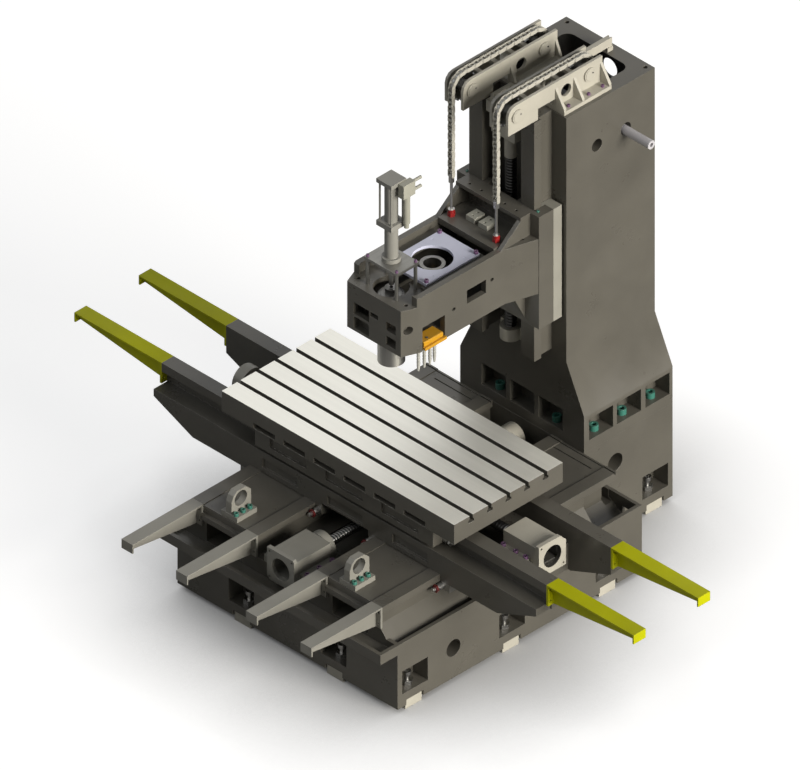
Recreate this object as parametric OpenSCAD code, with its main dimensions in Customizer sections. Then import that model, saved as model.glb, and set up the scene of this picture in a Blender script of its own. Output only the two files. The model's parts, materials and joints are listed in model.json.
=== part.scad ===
/* [Base] */
// Width of the base casting and of its chip pan
base_w = 1420; // [1400:5:1500]
// Depth of the wide part of the base, from its front wall to the rear rim
base_d = 1577; // [1570:1:1620]
// How far the chip trough stands out in front of the front wall
trough_d = 110; // [80:5:150]
// Height of the rim of the chip pan above the floor
rim_z = 387; // [375:1:395]
// Height of the underside of the base above the floor
skirt_z = 30; // [20:1:34]
// Height of the machined deck and of the column seat
deck_z = 550; // [540:1:552]
// Width of the narrow rear part that carries the column
rear_w = 800; // [780:5:840]
// Depth of the bed, from the front wall to the column
bed_d = 1514; // [1500:1:1525]
// Thickness of the pan rim and of the outer walls
wall = 20; // [14:1:26]

/* [Y ways] */
// Half the distance over the two outer ways
y_way_outer = 613; // [605:1:620]
// Half the clear distance between the two inner ways
y_way_inner = 190; // [185:1:195]
// Width of each way strip
y_way_w = 71; // [60:1:80]
// Height of the way strips above the deck
y_way_rise = 4; // [2:0.5:8]
// Thickness of the overhanging flange of a way
y_way_t = 37; // [32:1:42]
// Running clearance of every slideway
slide_gap = 0.2; // [0.1:0.05:0.4]

/* [Levelling feet] */
// Thickness of a foot pad
pad_t = 58; // [50:1:62]
// Length of a foot pad along the side of the base
pad_l = 105; // [80:5:120]
// Diameter of a levelling screw
level_d = 36; // [24:1:42]
// Height of the pockets over the pads
pocket_h = 128; // [100:1:140]
// Length of the pockets over the pads
pocket_l = 165; // [140:1:180]
// Depth of the pockets into the casting
pocket_d = 95; // [85:1:100]

/* [Saddle] */
// Distance of the saddle centre from the front wall of the base
saddle_y = 676; // [660:1:690]
// Half length of the saddle wings
wing_l = 1234; // [1200:1:1240]
// Depth of the saddle over its two wings
saddle_w = 612; // [600:1:630]
// Height of the floor between the two X ways
floor_z = 667; // [660:1:672]
// Height of the underside of the wings
wing_z = 522; // [519:1:530]
// Half length of the closed middle of the saddle
core_l = 965; // [940:1:978]
// Half length of the X ways
x_way_l = 1241; // [1236:1:1260]
// Height of the top of the X ways
x_way_z = 779; // [775:1:790]
// Width of each X way
x_way_w = 78; // [70:1:84]
// Thickness of the overhanging part of an X way
x_way_t = 48; // [40:1:52]
// Thickness of the wall under an X way
x_web_t = 44; // [38:1:48]
// Clear distance between the two X ways
x_way_gap = 338; // [320:1:350]

/* [Table] */
// Length of the table
table_l = 1500; // [1300:10:1600]
// Width of the table
table_w = 700; // [680:10:740]
// Thickness of the table plate
table_t = 110; // [90:1:130]
// Height of the guide plate between the ways and the table plate
guide_t = 31; // [25:1:36]
// Number of T slots
slot_n = 5; // [3:1:5]
// Pitch of the T slots
slot_pitch = 120; // [100:1:125]
// Width of the throat of a T slot
slot_w = 22; // [18:1:28]
// Depth of the throat of a T slot
slot_throat = 22; // [18:1:26]
// Width of the wide part of a T slot
slot_t_w = 37; // [34:1:44]
// Height of the wide part of a T slot
slot_t_h = 16; // [12:1:20]
// Half length of the guide skirts under the table
skirt_l = 574; // [540:1:600]
// Depth of the table over its two guide skirts
skirt_w = 622; // [616:1:650]

/* [Guard arms] */
// Length of a front arm
y_arm_l = 458; // [400:1:500]
// Length of a side arm
x_arm_l = 564; // [500:1:600]
// Thickness of the top plate of an arm
arm_t = 8; // [6:1:12]
// Thickness of the rib under an arm
arm_rib = 10; // [6:1:14]
// Height of the root plate of an arm
arm_root_h = 115; // [90:1:120]
// Height of the lip at the tip of an arm
arm_tip_h = 50; // [40:1:60]

/* [Axis drives] */
// Side of the square motor flanges
flange_w = 175; // [174:1:180]
// Diameter of the pilot bore for an axis motor
pilot_d = 114.3; // [100:0.1:116]
// Bolt circle of an axis motor
flange_pcd = 200; // [196:1:204]
// Diameter of the tapped holes for an axis motor
flange_hole_d = 12; // [8:1:13]
// Thickness of the motor flanges
flange_t = 22; // [16:1:26]
// Side of the square flange of the Z motor
z_flange_w = 150; // [146:1:156]
// Diameter of the pilot bore for the Z motor
z_pilot_d = 110; // [95:1:112]
// Bolt circle of the Z motor
z_flange_pcd = 145; // [143:1:150]
// Diameter of the tapped holes for the Z motor
z_flange_hole_d = 8.5; // [6:0.1:9]
// Diameter of the X and Y ball screws
screw_d = 50; // [40:1:56]
// Diameter of the journals of the ball screws
journal_d = 35; // [25:1:38]
// Radial clearance of a journal or a shaft in its bearing
run_gap = 0.05; // [0.02:0.01:0.08]
// Height of the axis of the Y ball screw
y_screw_z = 480; // [478:1:484]
// Height of the axis of the X ball screw
x_screw_z = 714; // [712:1:720]
// Height of the ledges that carry the Y motor bracket
ledge_z = 433; // [425:1:434]

/* [Column] */
// Width of the column above its flare
col_w = 571; // [560:1:600]
// Depth of the column
col_d = 571; // [560:1:600]
// Height of the top of the column
col_top = 2365; // [2320:5:2400]
// Height at which the flare of the column begins
flare_z = 755; // [745:1:800]
// Height at which the flare of the column ends
flare_top = 1005; // [950:5:1030]
// Half width of the shaft inside the column
shaft_w = 200; // [195:1:210]
// Radius of the corners of that shaft
shaft_r = 45; // [30:1:60]
// Thickness of the front wall of the column
col_front_t = 93; // [90:1:96]
// Thickness of the rear wall of the column
col_rear_t = 78; // [60:1:84]
// Thickness of the bolting flange at the foot of the column
col_foot_t = 58; // [45:1:60]
// Height of the bolting pockets
bolt_pocket_h = 120; // [100:1:125]
// Diameter of the column bolts
col_bolt_d = 30; // [24:1:36]

/* [Z ways] */
// Height of the lower end of the Z ways
z_way_z = 1033; // [1028:1:1033]
// Half the clear distance between the Z ways
z_way_inner = 125; // [120:1:128]
// Width of each Z way
z_way_w = 85; // [80:1:90]
// Thickness of the overhanging part of a Z way
z_way_t = 45; // [40:1:50]
// Depth of the Z ways in front of the column
z_way_d = 132; // [130:1:140]

/* [Head] */
// Distance of the spindle axis from the front wall of the base
spindle_y = 670; // [665:1:675]
// Height of the underside of the head casting
head_z = 1452; // [1440:1:1460]
// Height of the side walls of the head
head_top = 1757; // [1750:1:1775]
// Half width of the head casting
head_hw = 210; // [206:1:214]
// Thickness of the walls of the head
head_wall = 30; // [22:1:32]
// Thickness of the floor of the head
head_floor_t = 40; // [30:1:50]
// Height of the front deck of the head
head_deck_z = 1707; // [1700:1:1715]
// Half width of the slide at the back of the head
slide_hw = 265; // [258:1:270]
// Height of the lower end of the slide
slide_z = 1253; // [1250:1:1280]
// Height of the upper end of the slide
slide_top = 1879; // [1860:1:1890]
// Front face of the slide
slide_front = 1358; // [1352:1:1362]
// Half width of the channel for the Z screw behind the slide
channel_hw = 95; // [85:1:98]

/* [Spindle] */
// Outer diameter of the spindle cartridge
nose_d = 128; // [120:1:140]
// Height of the spindle nose
nose_z = 1299; // [1280:1:1310]
// Diameter of the spindle shaft
shaft_d = 76; // [68:1:80]
// Large diameter of the tool taper
taper_d = 44.45; // [40:0.05:50]
// Depth of the tool taper
taper_h = 68; // [60:1:75]
// Outer diameter of the drive pulleys
pulley_d = 121; // [110:1:130]
// Width of the drive belt
belt_w = 40; // [30:1:42]
// Thickness of the drive belt
belt_t = 6; // [4:0.5:8]
// Height of the middle of the drive belt
belt_z = 1650; // [1648:1:1652]
// Distance between the spindle axis and the motor axis
motor_dist = 265; // [255:1:270]
// Half width of the motor plate
motor_plate_hw = 129; // [124:1:134]
// Length of the motor plate
motor_plate_l = 348; // [340:1:352]
// Thickness of the motor plate
motor_plate_t = 15; // [12:1:20]
// Height of the top of the motor plate
motor_plate_z = 1735; // [1728:1:1740]
// Diameter of the bore in the motor plate
motor_bore_d = 194; // [180:1:200]

/* [Tool release cylinder] */
// Half width of the plate that carries the cylinder
cyl_plate_hw = 105; // [102:1:110]
// Length of the plate that carries the cylinder
cyl_plate_l = 147; // [144:1:154]
// Height of the top of that plate
cyl_plate_z = 1860; // [1840:5:1880]
// Thickness of that plate
cyl_plate_t = 15; // [10:1:20]
// Diameter of the four posts
post_d = 18; // [14:1:20]
// Side of the square caps of the cylinder
cap_w = 98; // [94:1:104]
// Diameter of the barrels of the cylinder
barrel_d = 64; // [58:1:68]
// Height of the lower cap of the cylinder
cap_z = 2052; // [2040:1:2060]
// Height of the top of the cylinder
cyl_top = 2312; // [2300:1:2330]
// Diameter of the push rod
push_d = 24; // [20:1:28]

/* [Chain] */
// Number of teeth on each sprocket
teeth = 18; // [16:1:19]
// Pitch of the chain
chain_pitch = 25.4; // [24:0.1:26]
// Height of a chain plate
chain_h = 20; // [18:0.5:21]
// Width over the chain plates
chain_w = 29; // [27:0.5:31]
// Thickness of a chain plate
chain_t = 5; // [4:0.5:5.5]
// Diameter of the chain rollers
roller_d = 15; // [13:0.5:15.5]
// Distance of each chain from the middle of the machine
chain_x = 145; // [140:1:147]
// Height of the sprocket axles above the column
axle_rise = 95; // [92:1:100]
// Front axle, measured from the front wall of the base
axle_front = 1276; // [1270:1:1280]
// Rear axle, measured from the front wall of the base
axle_rear = 1741; // [1735:1:1745]
// Height of the anchor pins of the chains above the side walls of the head
anchor_h = 233; // [203:5:253]
// Width over the two plates of a chain bracket
bracket_w = 120; // [114:1:124]
// Thickness of a plate of a chain bracket
bracket_t = 15; // [12:1:18]
// Height of a chain bracket above the column
bracket_h = 155; // [149:1:156]

/* [Counterweight] */
// Half width of the counterweight
weight_hw = 170; // [165:1:176]
// Height of the underside of the counterweight
weight_z = 1100; // [1095:5:1140]
// Height of the body of the counterweight
weight_h = 750; // [700:10:750]

/* [Hidden] */
$fn = 48;
touch = 0.01;
chute_z = pad_t + 43 + pocket_h + 33;
arm_tip_y = -y_arm_l;
column_back = bed_d + col_d;
mid_y = (arm_tip_y + column_back) / 2;
ring_screw_d = 16;
ring_step = 763;
ring_screw_x = [-349, ring_step - 349];
drive_screw_d = 16;
base_hw = base_w / 2;
rear_hw = rear_w / 2;
way_z = deck_z + y_way_rise;
way_in_x = y_way_inner + y_way_w;
way_out_x = y_way_outer - y_way_w;
flange_z = way_z - y_way_t;
bed_wall_x = y_way_outer - 23;
apron_x = y_way_outer + 0.5;
saddle_hw = saddle_w / 2;
x_front = saddle_y - x_way_gap / 2;
x_rear = saddle_y + x_way_gap / 2;
x_way_y = x_way_gap / 2 + x_way_w / 2;
table_z = x_way_z + guide_t;
table_top = table_z + table_t;
skirt_hw = skirt_w / 2;
skirt_z1 = x_way_z - x_way_t - 45;
nut_r = screw_d / 2 + 15;
nut_flange_r = screw_d / 2 + 37;
y_nut_y = saddle_y + 24;
x_nut_x = 95;
x_bracket_x = 789;
x_flange_x = x_bracket_x + 245;
y_flange_y = -45;
col_hw = col_w / 2;
foot_hw = rear_w / 2;
shaft_front = bed_d + col_front_t;
shaft_back = column_back - col_rear_t;
pocket_z = deck_z + col_foot_t;
z_screw_y = bed_d - 74;
z_screw_r = 29;
z_way_front = bed_d - z_way_d;
z_way_back = z_way_front + z_way_t;
z_way_outer = z_way_inner + z_way_w;
z_nut_z = slide_z + 247;
head_in = head_hw - head_wall;
spindle_top = belt_z + belt_w / 2 + 35;
motor_y = spindle_y + motor_dist;
pulley_r = pulley_d / 2;
belt_r = pulley_r + 0.3;
deck_under = head_deck_z - 27;
boss_top = belt_z - belt_w / 2 - 15;
post_x = cyl_plate_hw - 11.5;
post_y = cyl_plate_l / 2 - 12.5;
axle_z = col_top + axle_rise;
bracket_z = col_top + bracket_h;
anchor_z = head_top + anchor_h;
pitch_r = chain_pitch / 2 / sin(180 / teeth);
rear_turn = ((axle_rear - axle_front) % chain_pitch) * 57.2958 / pitch_r;
chain_in = pitch_r - chain_h / 2;
chain_out = pitch_r + chain_h / 2;
strand_front = axle_front - pitch_r;
strand_rear = axle_rear + pitch_r;
weight_top = weight_z + weight_h;
weight_front = shaft_front + 33;
weight_back = shaft_back - 17;
lug_top = weight_top + 20;
bar_y = 1898;
bar_z = col_top - 247;
bar_d = 45;
bar_hole_d = 65;
axle_d = 40;
sprocket_t = chain_w - 2 * chain_t - 3;
z_nut_r = z_screw_r + 13;
x_keeper = y_way_outer + 12;
level_spots = [
    for (s = [-1, 1]) each [
        [s * (base_hw - 55), 113],
        [s * (base_hw - 55), 739],
        [s * (base_hw - 55), 1362],
        [s * (rear_hw - 55), column_back - 112]
    ]
];
front_spots = [[-298, 55], [298, 55]];
column_bolt_spots = [[foot_hw - 48, bed_d + 110], [foot_hw - 48, bed_d + 290],
    [foot_hw - 48, bed_d + 474], [183, bed_d + 42]];

module box(x0, x1, y0, y1, z0, z1) {
    translate([x0, y0, z0])
        cube([x1 - x0, y1 - y0, z1 - z0]);
}

module both_sides() {
    children();
    mirror([1, 0, 0])
        children();
}

module bar_x(points, x0, x1) {
    translate([x0, 0, 0])
        rotate([90, 0, 90])
            linear_extrude(x1 - x0)
                polygon(points);
}

module bar_y(points, y0, y1) {
    translate([0, y1, 0])
        rotate([90, 0, 0])
            linear_extrude(y1 - y0)
                polygon(points);
}

module rod_x(d, x0, x1, y, z) {
    translate([x0, y, z])
        rotate([0, 90, 0])
            cylinder(h = x1 - x0, d = d);
}

module rod_y(d, y0, y1, x, z) {
    translate([x, y1, z])
        rotate([90, 0, 0])
            cylinder(h = y1 - y0, d = d);
}

module rod_z(d, z0, z1, x, y) {
    translate([x, y, z0])
        cylinder(h = z1 - z0, d = d);
}

module place() {
    translate([0, -mid_y, 0])
        children();
}

module bolt_square(pcd, d, h) {
    for (a = [45, 135, 225, 315])
        rotate([0, 0, a])
            translate([pcd / 2, 0, -1])
                cylinder(h = h + 2, d = d);
}

module socket_screw(d, grip) {
    rotate([180, 0, 0])
        translate([0, 0, -touch])
            cylinder(h = grip + touch, d = d - 0.2);
    difference() {
        cylinder(h = d, d = 1.5 * d);
        translate([0, 0, d / 2])
            cylinder(h = d, d = 0.9 * d, $fn = 6);
    }
}

module motor_flange(cut, hw, pilot, pcd, hole) {
    difference() {
        linear_extrude(flange_t)
            polygon([[-hw, -hw + cut], [-hw + cut, -hw], [hw, -hw], [hw, hw - cut / 2],
                [hw - cut / 2, hw], [-hw, hw]]);
        translate([0, 0, -1])
            cylinder(h = flange_t + 2, d = pilot, $fn = 96);
        bolt_square(pcd, hole, flange_t);
    }
}

module deck_half() {
    bar_y([[y_way_inner, way_z], [way_in_x, way_z], [way_in_x, deck_z],
        [way_out_x, deck_z], [way_out_x, way_z], [y_way_outer, way_z],
        [y_way_outer, flange_z], [bed_wall_x, flange_z], [bed_wall_x, 445],
        [bed_wall_x + 70, 362], [bed_wall_x + 70, 300], [90, 300],
        [90, ledge_z], [y_way_inner + 15, ledge_z], [y_way_inner + 15, flange_z],
        [y_way_inner, flange_z]], 0, bed_d);
}

module base_pocket(x, y) {
    s = x > 0 ? 1 : -1;
    edge = y > base_d ? rear_hw : base_hw;
    z1 = pad_t + 43;
    translate([s * edge, y, z1 + pocket_h / 2])
        cube([2 * pocket_d, pocket_l, pocket_h], center = true);
    translate([s * edge, y, pad_t - 50])
        cube([2 * pocket_d + 10, pad_l + 6, 100], center = true);
    rod_z(level_d + 0.4, pad_t - 1, z1 + 1, x, y);
}

module front_pocket(x, y) {
    z1 = pad_t + 43;
    translate([x, 0, z1 + pocket_h / 2])
        cube([pocket_l, 2 * pocket_d, pocket_h], center = true);
    translate([x, 0, pad_t - 50])
        cube([pad_l + 6, 2 * pocket_d + 10, 100], center = true);
    rod_z(level_d + 0.4, pad_t - 1, z1 + 1, x, y);
}

module base_shape() {
    difference() {
        union() {
            box(-base_hw, base_hw, 0, base_d, skirt_z, rim_z);
            box(-base_hw, base_hw, -trough_d, 1, rim_z - 53, rim_z);
            box(-rear_hw, rear_hw, bed_d - 1, column_back, skirt_z, deck_z);
        }
        both_sides()
            box(bed_wall_x - 1, base_hw - wall, wall, base_d - wall, 331, rim_z + 1);
        box(-base_hw + wall, base_hw - wall, wall - trough_d, 0, 350, rim_z + 1);
        box(-y_way_outer, y_way_outer, -1, bed_d - 1, 331, rim_z + 1);
        both_sides()
            box(rear_hw, base_hw - wall, bed_d - 10, base_d - wall, 331, rim_z + 1);
    }
}

module base_casting() color("#4c4b47") {
    difference() {
        union() {
            base_shape();
            both_sides()
                deck_half();
            box(-91, 91, 0, bed_d, 300, 385);
            both_sides()
                box(way_in_x, way_out_x, -20, 1, 480, 510);
        }
        both_sides() {
            box(290, 520, -1, 220, 360, 470);
            box(y_way_inner - 1, y_way_outer + 1, 1496, 1504, deck_z - 6, way_z + 1);
            box(way_in_x, 506, 1449, 1457, deck_z - 6, deck_z + 1);
            bar_y([[512, 470], [512, 345], [base_hw - wall - 25, chute_z],
                [base_hw - wall, chute_z], [base_hw - wall, 470]], 1320, base_d - 17);
            box(600, base_hw - wall - 10, base_d - 18, base_d + 1, chute_z, 335);
            box(bed_wall_x - 85, base_hw, 1320, bed_d + 1, 470, flange_z);
            for (x = [40, 330])
                for (y = [190, 540, 890])
                    box(x, x + 230, y, y + 300, skirt_z - 1, 270);
            box(40, 300, bed_d + 130, bed_d + 400, skirt_z - 1, 480);
            rod_x(90, base_hw - 160, base_hw + 1, 361, 196);
            rod_x(95, rear_hw - 90, rear_hw + 1, 1714, 402);
        }
        for (p = level_spots)
            base_pocket(p[0], p[1]);
        for (p = front_spots)
            front_pocket(p[0], p[1]);
        for (x = [-115, 115], y = [11, 90, 173])
            rod_z(drive_screw_d, ledge_z - 40, ledge_z + 1, x, y);
        for (x = [-115, 115], y = [1412, 1458])
            rod_z(drive_screw_d, ledge_z - 40, ledge_z + 1, x, y);
        for (x = ring_screw_x, y = [18, 62, 106])
            rod_z(ring_screw_d, deck_z - 40, deck_z + 1, x, y);
        both_sides()
            for (p = column_bolt_spots)
                rod_z(col_bolt_d, deck_z - 90, deck_z + 1, p[0], p[1]);
    }
}

module pad(x, y, along_x) {
    w = along_x ? pad_l : 90;
    l = along_x ? 90 : pad_l;
    difference() {
        translate([x - w / 2, y - l / 2, 0])
            cube([w, l, pad_t]);
        rod_z(level_d * 0.6, pad_t - 12, pad_t + 1, x, y);
    }
}

module leveling_pads() color("#cfc9b8") {
    for (p = level_spots)
        pad(p[0], p[1], false);
    for (p = front_spots)
        pad(p[0], p[1], true);
}

module leveling_screws() color("#9a9a94") {
    z1 = pad_t + 43;
    for (p = concat(level_spots, front_spots))
        translate([p[0], p[1], 0]) {
            rod_z(level_d, pad_t, z1 + 1, 0, 0);
            translate([0, 0, z1])
                cylinder(h = 22, d = 1.7 * level_d, $fn = 6);
            rod_z(0.65 * level_d, z1 + 21, z1 + 51, 0, 0);
            difference() {
                rod_z(1.2 * level_d, z1 + 50, z1 + 68, 0, 0);
                translate([0, 0, z1 + 58])
                    cylinder(h = 11, d = 0.6 * level_d, $fn = 6);
            }
        }
}

module ring_bracket() {
    difference() {
        union() {
            box(330, 433, 5, 134, deck_z, deck_z + 27);
            bar_x([[7, deck_z + 26], [7, deck_z + 90], [20, deck_z + 122],
                [43, deck_z + 141], [101, deck_z + 141], [133, deck_z + 112],
                [134, deck_z + 26]], 368, 404);
        }
        rod_x(80, 350, 420, 67, deck_z + 93);
        for (y = [18, 62, 106])
            rod_z(ring_screw_d, deck_z - 1, deck_z + 28, 349, y);
    }
}

module ring_bracket_left() color("#b9b6a6")
    mirror([1, 0, 0])
        ring_bracket();

module ring_bracket_right() color("#b9b6a6")
    translate([ring_step, 0, 0])
        ring_bracket_left();

module ring_bracket_screws()
    for (x = ring_screw_x, y = [18, 62, 106])
        translate([x, y, deck_z + 27])
            socket_screw(ring_screw_d, 60);

module y_motor_bracket() color("#b9b6a6") {
    difference() {
        union() {
            translate([0, y_flange_y + flange_t, y_screw_z])
                rotate([90, 0, 0])
                    motor_flange(20, flange_w / 2, pilot_d, flange_pcd, flange_hole_d);
            difference() {
                box(-80, 80, y_flange_y + flange_t, 200, y_screw_z - 70, y_screw_z + 68);
                box(-62, 62, y_flange_y + flange_t - 1, 150, y_screw_z - 55, y_screw_z + 55);
            }
            rod_y(150, 200 - touch, 240, 0, y_screw_z);
            both_sides()
                box(79, 150, 0, 190, ledge_z, ledge_z + 40);
        }
        rod_y(journal_d + 2 * run_gap, 140, 241, 0, y_screw_z);
        for (x = [-115, 115], y = [11, 90, 173])
            rod_z(drive_screw_d, ledge_z - 1, ledge_z + 41, x, y);
        box(-81, 81, 199, 241, ledge_z - 60, y_screw_z - 62);
    }
}

module y_rear_bearing() color("#cfc9b8") {
    difference() {
        union() {
            rod_y(130, 1400, 1470, 0, y_screw_z);
            box(-65, 65, 1400, 1470, ledge_z, y_screw_z);
            box(-150, 150, 1395, 1475, ledge_z, ledge_z + 22);
        }
        box(-80, 80, 1390, 1480, ledge_z - 60, ledge_z);
        rod_y(journal_d + 2 * run_gap, 1394, 1476, 0, y_screw_z);
        for (x = [-115, 115], y = [1412, 1458])
            rod_z(drive_screw_d, ledge_z - 1, ledge_z + 23, x, y);
    }
}

module y_drive_screws() {
    for (x = [-115, 115], y = [11, 90, 173])
        translate([x, y, ledge_z + 40])
            socket_screw(drive_screw_d, 75);
    for (x = [-115, 115], y = [1412, 1458])
        translate([x, y, ledge_z + 22])
            socket_screw(drive_screw_d, 60);
}

module ballscrew(d, length, front, rear) {
    rod_z(d, 0, length, 0, 0);
    rod_z(journal_d, -front, touch, 0, 0);
    rod_z(journal_d, length - touch, length + rear, 0, 0);
}

module y_ballscrew() color("#b5b5b0")
    translate([0, 242, y_screw_z])
        rotate([-90, 0, 0])
            ballscrew(screw_d, 1150, 230, 84);

module y_arm(x) color("#b7b4a2")
    translate([x, 0, 0])
        difference() {
            union() {
                box(0, y_way_w, -y_arm_l, 0, way_z - arm_t, way_z);
                box(0, y_way_w, -12, 0, way_z - arm_root_h, way_z);
                box(0, y_way_w, -y_arm_l, -y_arm_l + arm_t, way_z - arm_tip_h, way_z);
                bar_x([[-y_arm_l + 1, way_z - 1], [-1, way_z - 1],
                    [-1, way_z - arm_root_h], [-y_arm_l + 1, way_z - arm_tip_h]],
                    y_way_w / 2 - arm_rib / 2, y_way_w / 2 + arm_rib / 2);
            }
            for (dx = [14, y_way_w - 14], dz = [30, 90])
                rod_y(11, -13, 1, dx, way_z - dz);
        }

module y_arm_outer_left()
    y_arm(-y_way_outer);

module y_arm_inner_left()
    y_arm(-way_in_x);

module y_arm_inner_right()
    y_arm(y_way_inner);

module y_arm_outer_right()
    y_arm(way_out_x);

module wing_profile(z1, h, l)
    bar_y([[-l, z1], [l, z1], [l, floor_z - 39], [core_l + 17, wing_z],
        [apron_x, wing_z], [apron_x, way_z + slide_gap], [y_way_inner - slide_gap, way_z + slide_gap],
        [y_way_inner - slide_gap, way_z - 50], [y_way_inner - 40, way_z - 50],
        [y_way_inner - 40, way_z + 16], [-y_way_inner + 40, way_z + 16],
        [-y_way_inner + 40, way_z - 50], [-y_way_inner + slide_gap, way_z - 50],
        [-y_way_inner + slide_gap, way_z + slide_gap], [-apron_x, way_z + slide_gap],
        [-apron_x, wing_z], [-core_l - 17, wing_z], [-l, floor_z - 39]], 0, h);

module saddle_casting() color("#454440") {
    difference() {
        union() {
            for (y = [saddle_y - saddle_hw, x_rear + x_web_t])
                translate([0, y, 0])
                    wing_profile(floor_z, x_front - x_web_t - saddle_y + saddle_hw, wing_l);
            for (y = [x_front - x_web_t - touch, x_rear])
                translate([0, y, 0])
                    wing_profile(x_way_z - x_way_t + touch, x_web_t + touch, x_way_l);
            for (y = [x_front - x_way_w, x_rear])
                box(-x_way_l, x_way_l, y, y + x_way_w, x_way_z - x_way_t, x_way_z);
            intersection() {
                translate([0, x_front - touch, 0])
                    wing_profile(floor_z, x_way_gap + 2 * touch, x_way_l);
                box(-core_l, core_l, x_front - 1, x_rear + 1, 0, floor_z + 1);
            }
            box(-75, 75, y_nut_y, y_nut_y + 160, y_screw_z - 52, way_z + 20);
        }
        box(-x_bracket_x + 9, x_bracket_x - 9, saddle_y - 70, saddle_y + 70, floor_z - 29, floor_z + 1);
        rod_y(2 * nut_r + 0.2, y_nut_y - 1, y_nut_y + 161, 0, y_screw_z);
        for (x = [809, 888, 967 - 15], y = [-92, 92])
            rod_z(drive_screw_d, floor_z - 40, floor_z + 1, x, saddle_y + y);
        for (y = [-92, 92])
            rod_z(drive_screw_d, floor_z - 40, floor_z + 1, -933, saddle_y + y);
        for (s = [-1, 1], x = [-420, 0, 420])
            translate([x, saddle_y + s * saddle_hw, floor_z - 62])
                cube([230, 24, 50], center = true);
    }
}

module saddle_keepers() color("#a9a79c") {
    x1 = base_hw - 35;
    both_sides()
        for (y = [saddle_y - saddle_hw + 2, saddle_y + saddle_hw - 152])
            bar_y([[bed_wall_x + 3, 478], [x1, 478], [x1, wing_z], [apron_x + 1, wing_z],
                [apron_x + 1, flange_z - slide_gap], [bed_wall_x + 3, flange_z - slide_gap]],
                y, y + 150);
}

module gib_adjuster() {
    rod_y(34, -26, 0, 0, 0);
    rod_y(20, -62, -26 + touch, 0, 0);
    translate([0, -36, 0])
        rotate([90, 0, 0])
            cylinder(h = 10, d = 40, $fn = 6);
}

module gib_adjusters() color("#a33b35") {
    y = saddle_y - saddle_hw;
    both_sides()
        translate([x_keeper, y + 2, 500])
            gib_adjuster();
    both_sides()
        translate([y_way_inner - 20, y, way_z - 29])
            gib_adjuster();
}

module ball_nut(bore, r, flange_r, l) {
    difference() {
        union() {
            translate([0, 0, -1])
                cylinder(h = l + 1, r = r);
            translate([0, 0, -15])
                cylinder(h = 15, r = flange_r);
        }
        translate([0, 0, -16])
            cylinder(h = l + 17, d = bore);
        for (a = [30:60:330])
            rotate([0, 0, a])
                translate([(r + flange_r) / 2, 0, -16])
                    cylinder(h = 16, d = 6.6);
    }
}

module y_nut() color("#8e8e88")
    translate([0, y_nut_y, y_screw_z])
        rotate([-90, 0, 0])
            ball_nut(screw_d + 2 * run_gap, nut_r, nut_flange_r, 185);

module x_motor_bracket() color("#cfc9b8") {
    difference() {
        union() {
            translate([x_flange_x - flange_t, saddle_y, x_screw_z])
                rotate([0, 0, 90])
                    rotate([90, 0, 0])
                        motor_flange(72, flange_w / 2, pilot_d, flange_pcd, flange_hole_d);
            difference() {
                box(x_bracket_x, x_flange_x - flange_t + touch, saddle_y - 72, saddle_y + 72,
                    floor_z, x_screw_z + 61);
                box(x_bracket_x + 70, x_flange_x, saddle_y - 54, saddle_y + 54,
                    floor_z + 8, x_screw_z + 46);
            }
            for (s = [-1, 1])
                translate([x_bracket_x, saddle_y + s * 92 - 23, floor_z])
                    cube([core_l - x_bracket_x, 46, 38]);
        }
        rod_x(journal_d + 2 * run_gap, x_bracket_x - 1, x_bracket_x + 71, saddle_y, x_screw_z);
        rod_x(pilot_d, x_flange_x - flange_t - 5, x_flange_x + 1, saddle_y, x_screw_z);
        for (x = [809, 888, 952], y = [-92, 92])
            rod_z(drive_screw_d, floor_z - 1, floor_z + 39, x, saddle_y + y);
    }
}

module x_end_bearing() color("#cfc9b8") {
    difference() {
        union() {
            intersection() {
                rod_x(150, -960, -905, saddle_y, x_screw_z);
                box(-961, -904, saddle_y - 80, saddle_y + 80, floor_z, x_screw_z + 80);
            }
            box(-960, -905, saddle_y - 108, saddle_y + 108, floor_z, floor_z + 24);
        }
        rod_x(journal_d + 2 * run_gap, -961, -904, saddle_y, x_screw_z);
        for (y = [-92, 92])
            rod_z(drive_screw_d, floor_z - 1, floor_z + 25, -933, saddle_y + y);
    }
}

module x_drive_screws() color("#6a5f78") {
    for (x = [809, 888, 952], y = [-92, 92])
        translate([x, saddle_y + y, floor_z + 38])
            socket_screw(drive_screw_d, 75);
    for (y = [-92, 92])
        translate([-933, saddle_y + y, floor_z + 24])
            socket_screw(drive_screw_d, 60);
}

module x_ballscrew() color("#b5b5b0")
    translate([-902, saddle_y, x_screw_z])
        rotate([0, 90, 0])
            ballscrew(screw_d, x_bracket_x + 900, 70, 120);

module x_arm(y) color("#b3b026")
    translate([x_way_l, y, 0])
        difference() {
            union() {
                box(0, x_arm_l, 0, x_way_w, x_way_z - arm_t, x_way_z);
                box(0, 12, 0, x_way_w, x_way_z - arm_root_h, x_way_z);
                box(x_arm_l - arm_t, x_arm_l, 0, x_way_w, x_way_z - arm_tip_h, x_way_z);
                bar_y([[1, x_way_z - 1], [x_arm_l - 1, x_way_z - 1],
                    [x_arm_l - 1, x_way_z - arm_tip_h], [1, x_way_z - arm_root_h]],
                    x_way_w / 2 - arm_rib / 2, x_way_w / 2 + arm_rib / 2);
            }
            for (dy = [15, x_way_w - 15], dz = [30, 90])
                rod_x(11, -1, 13, dy, x_way_z - dz);
        }

module x_arm_front_right()
    x_arm(x_front - x_way_w);

module x_arm_rear_right()
    x_arm(x_rear);

module x_arm_front_left()
    mirror([1, 0, 0])
        x_arm_front_right();

module x_arm_rear_left()
    mirror([1, 0, 0])
        x_arm_rear_right();

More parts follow.
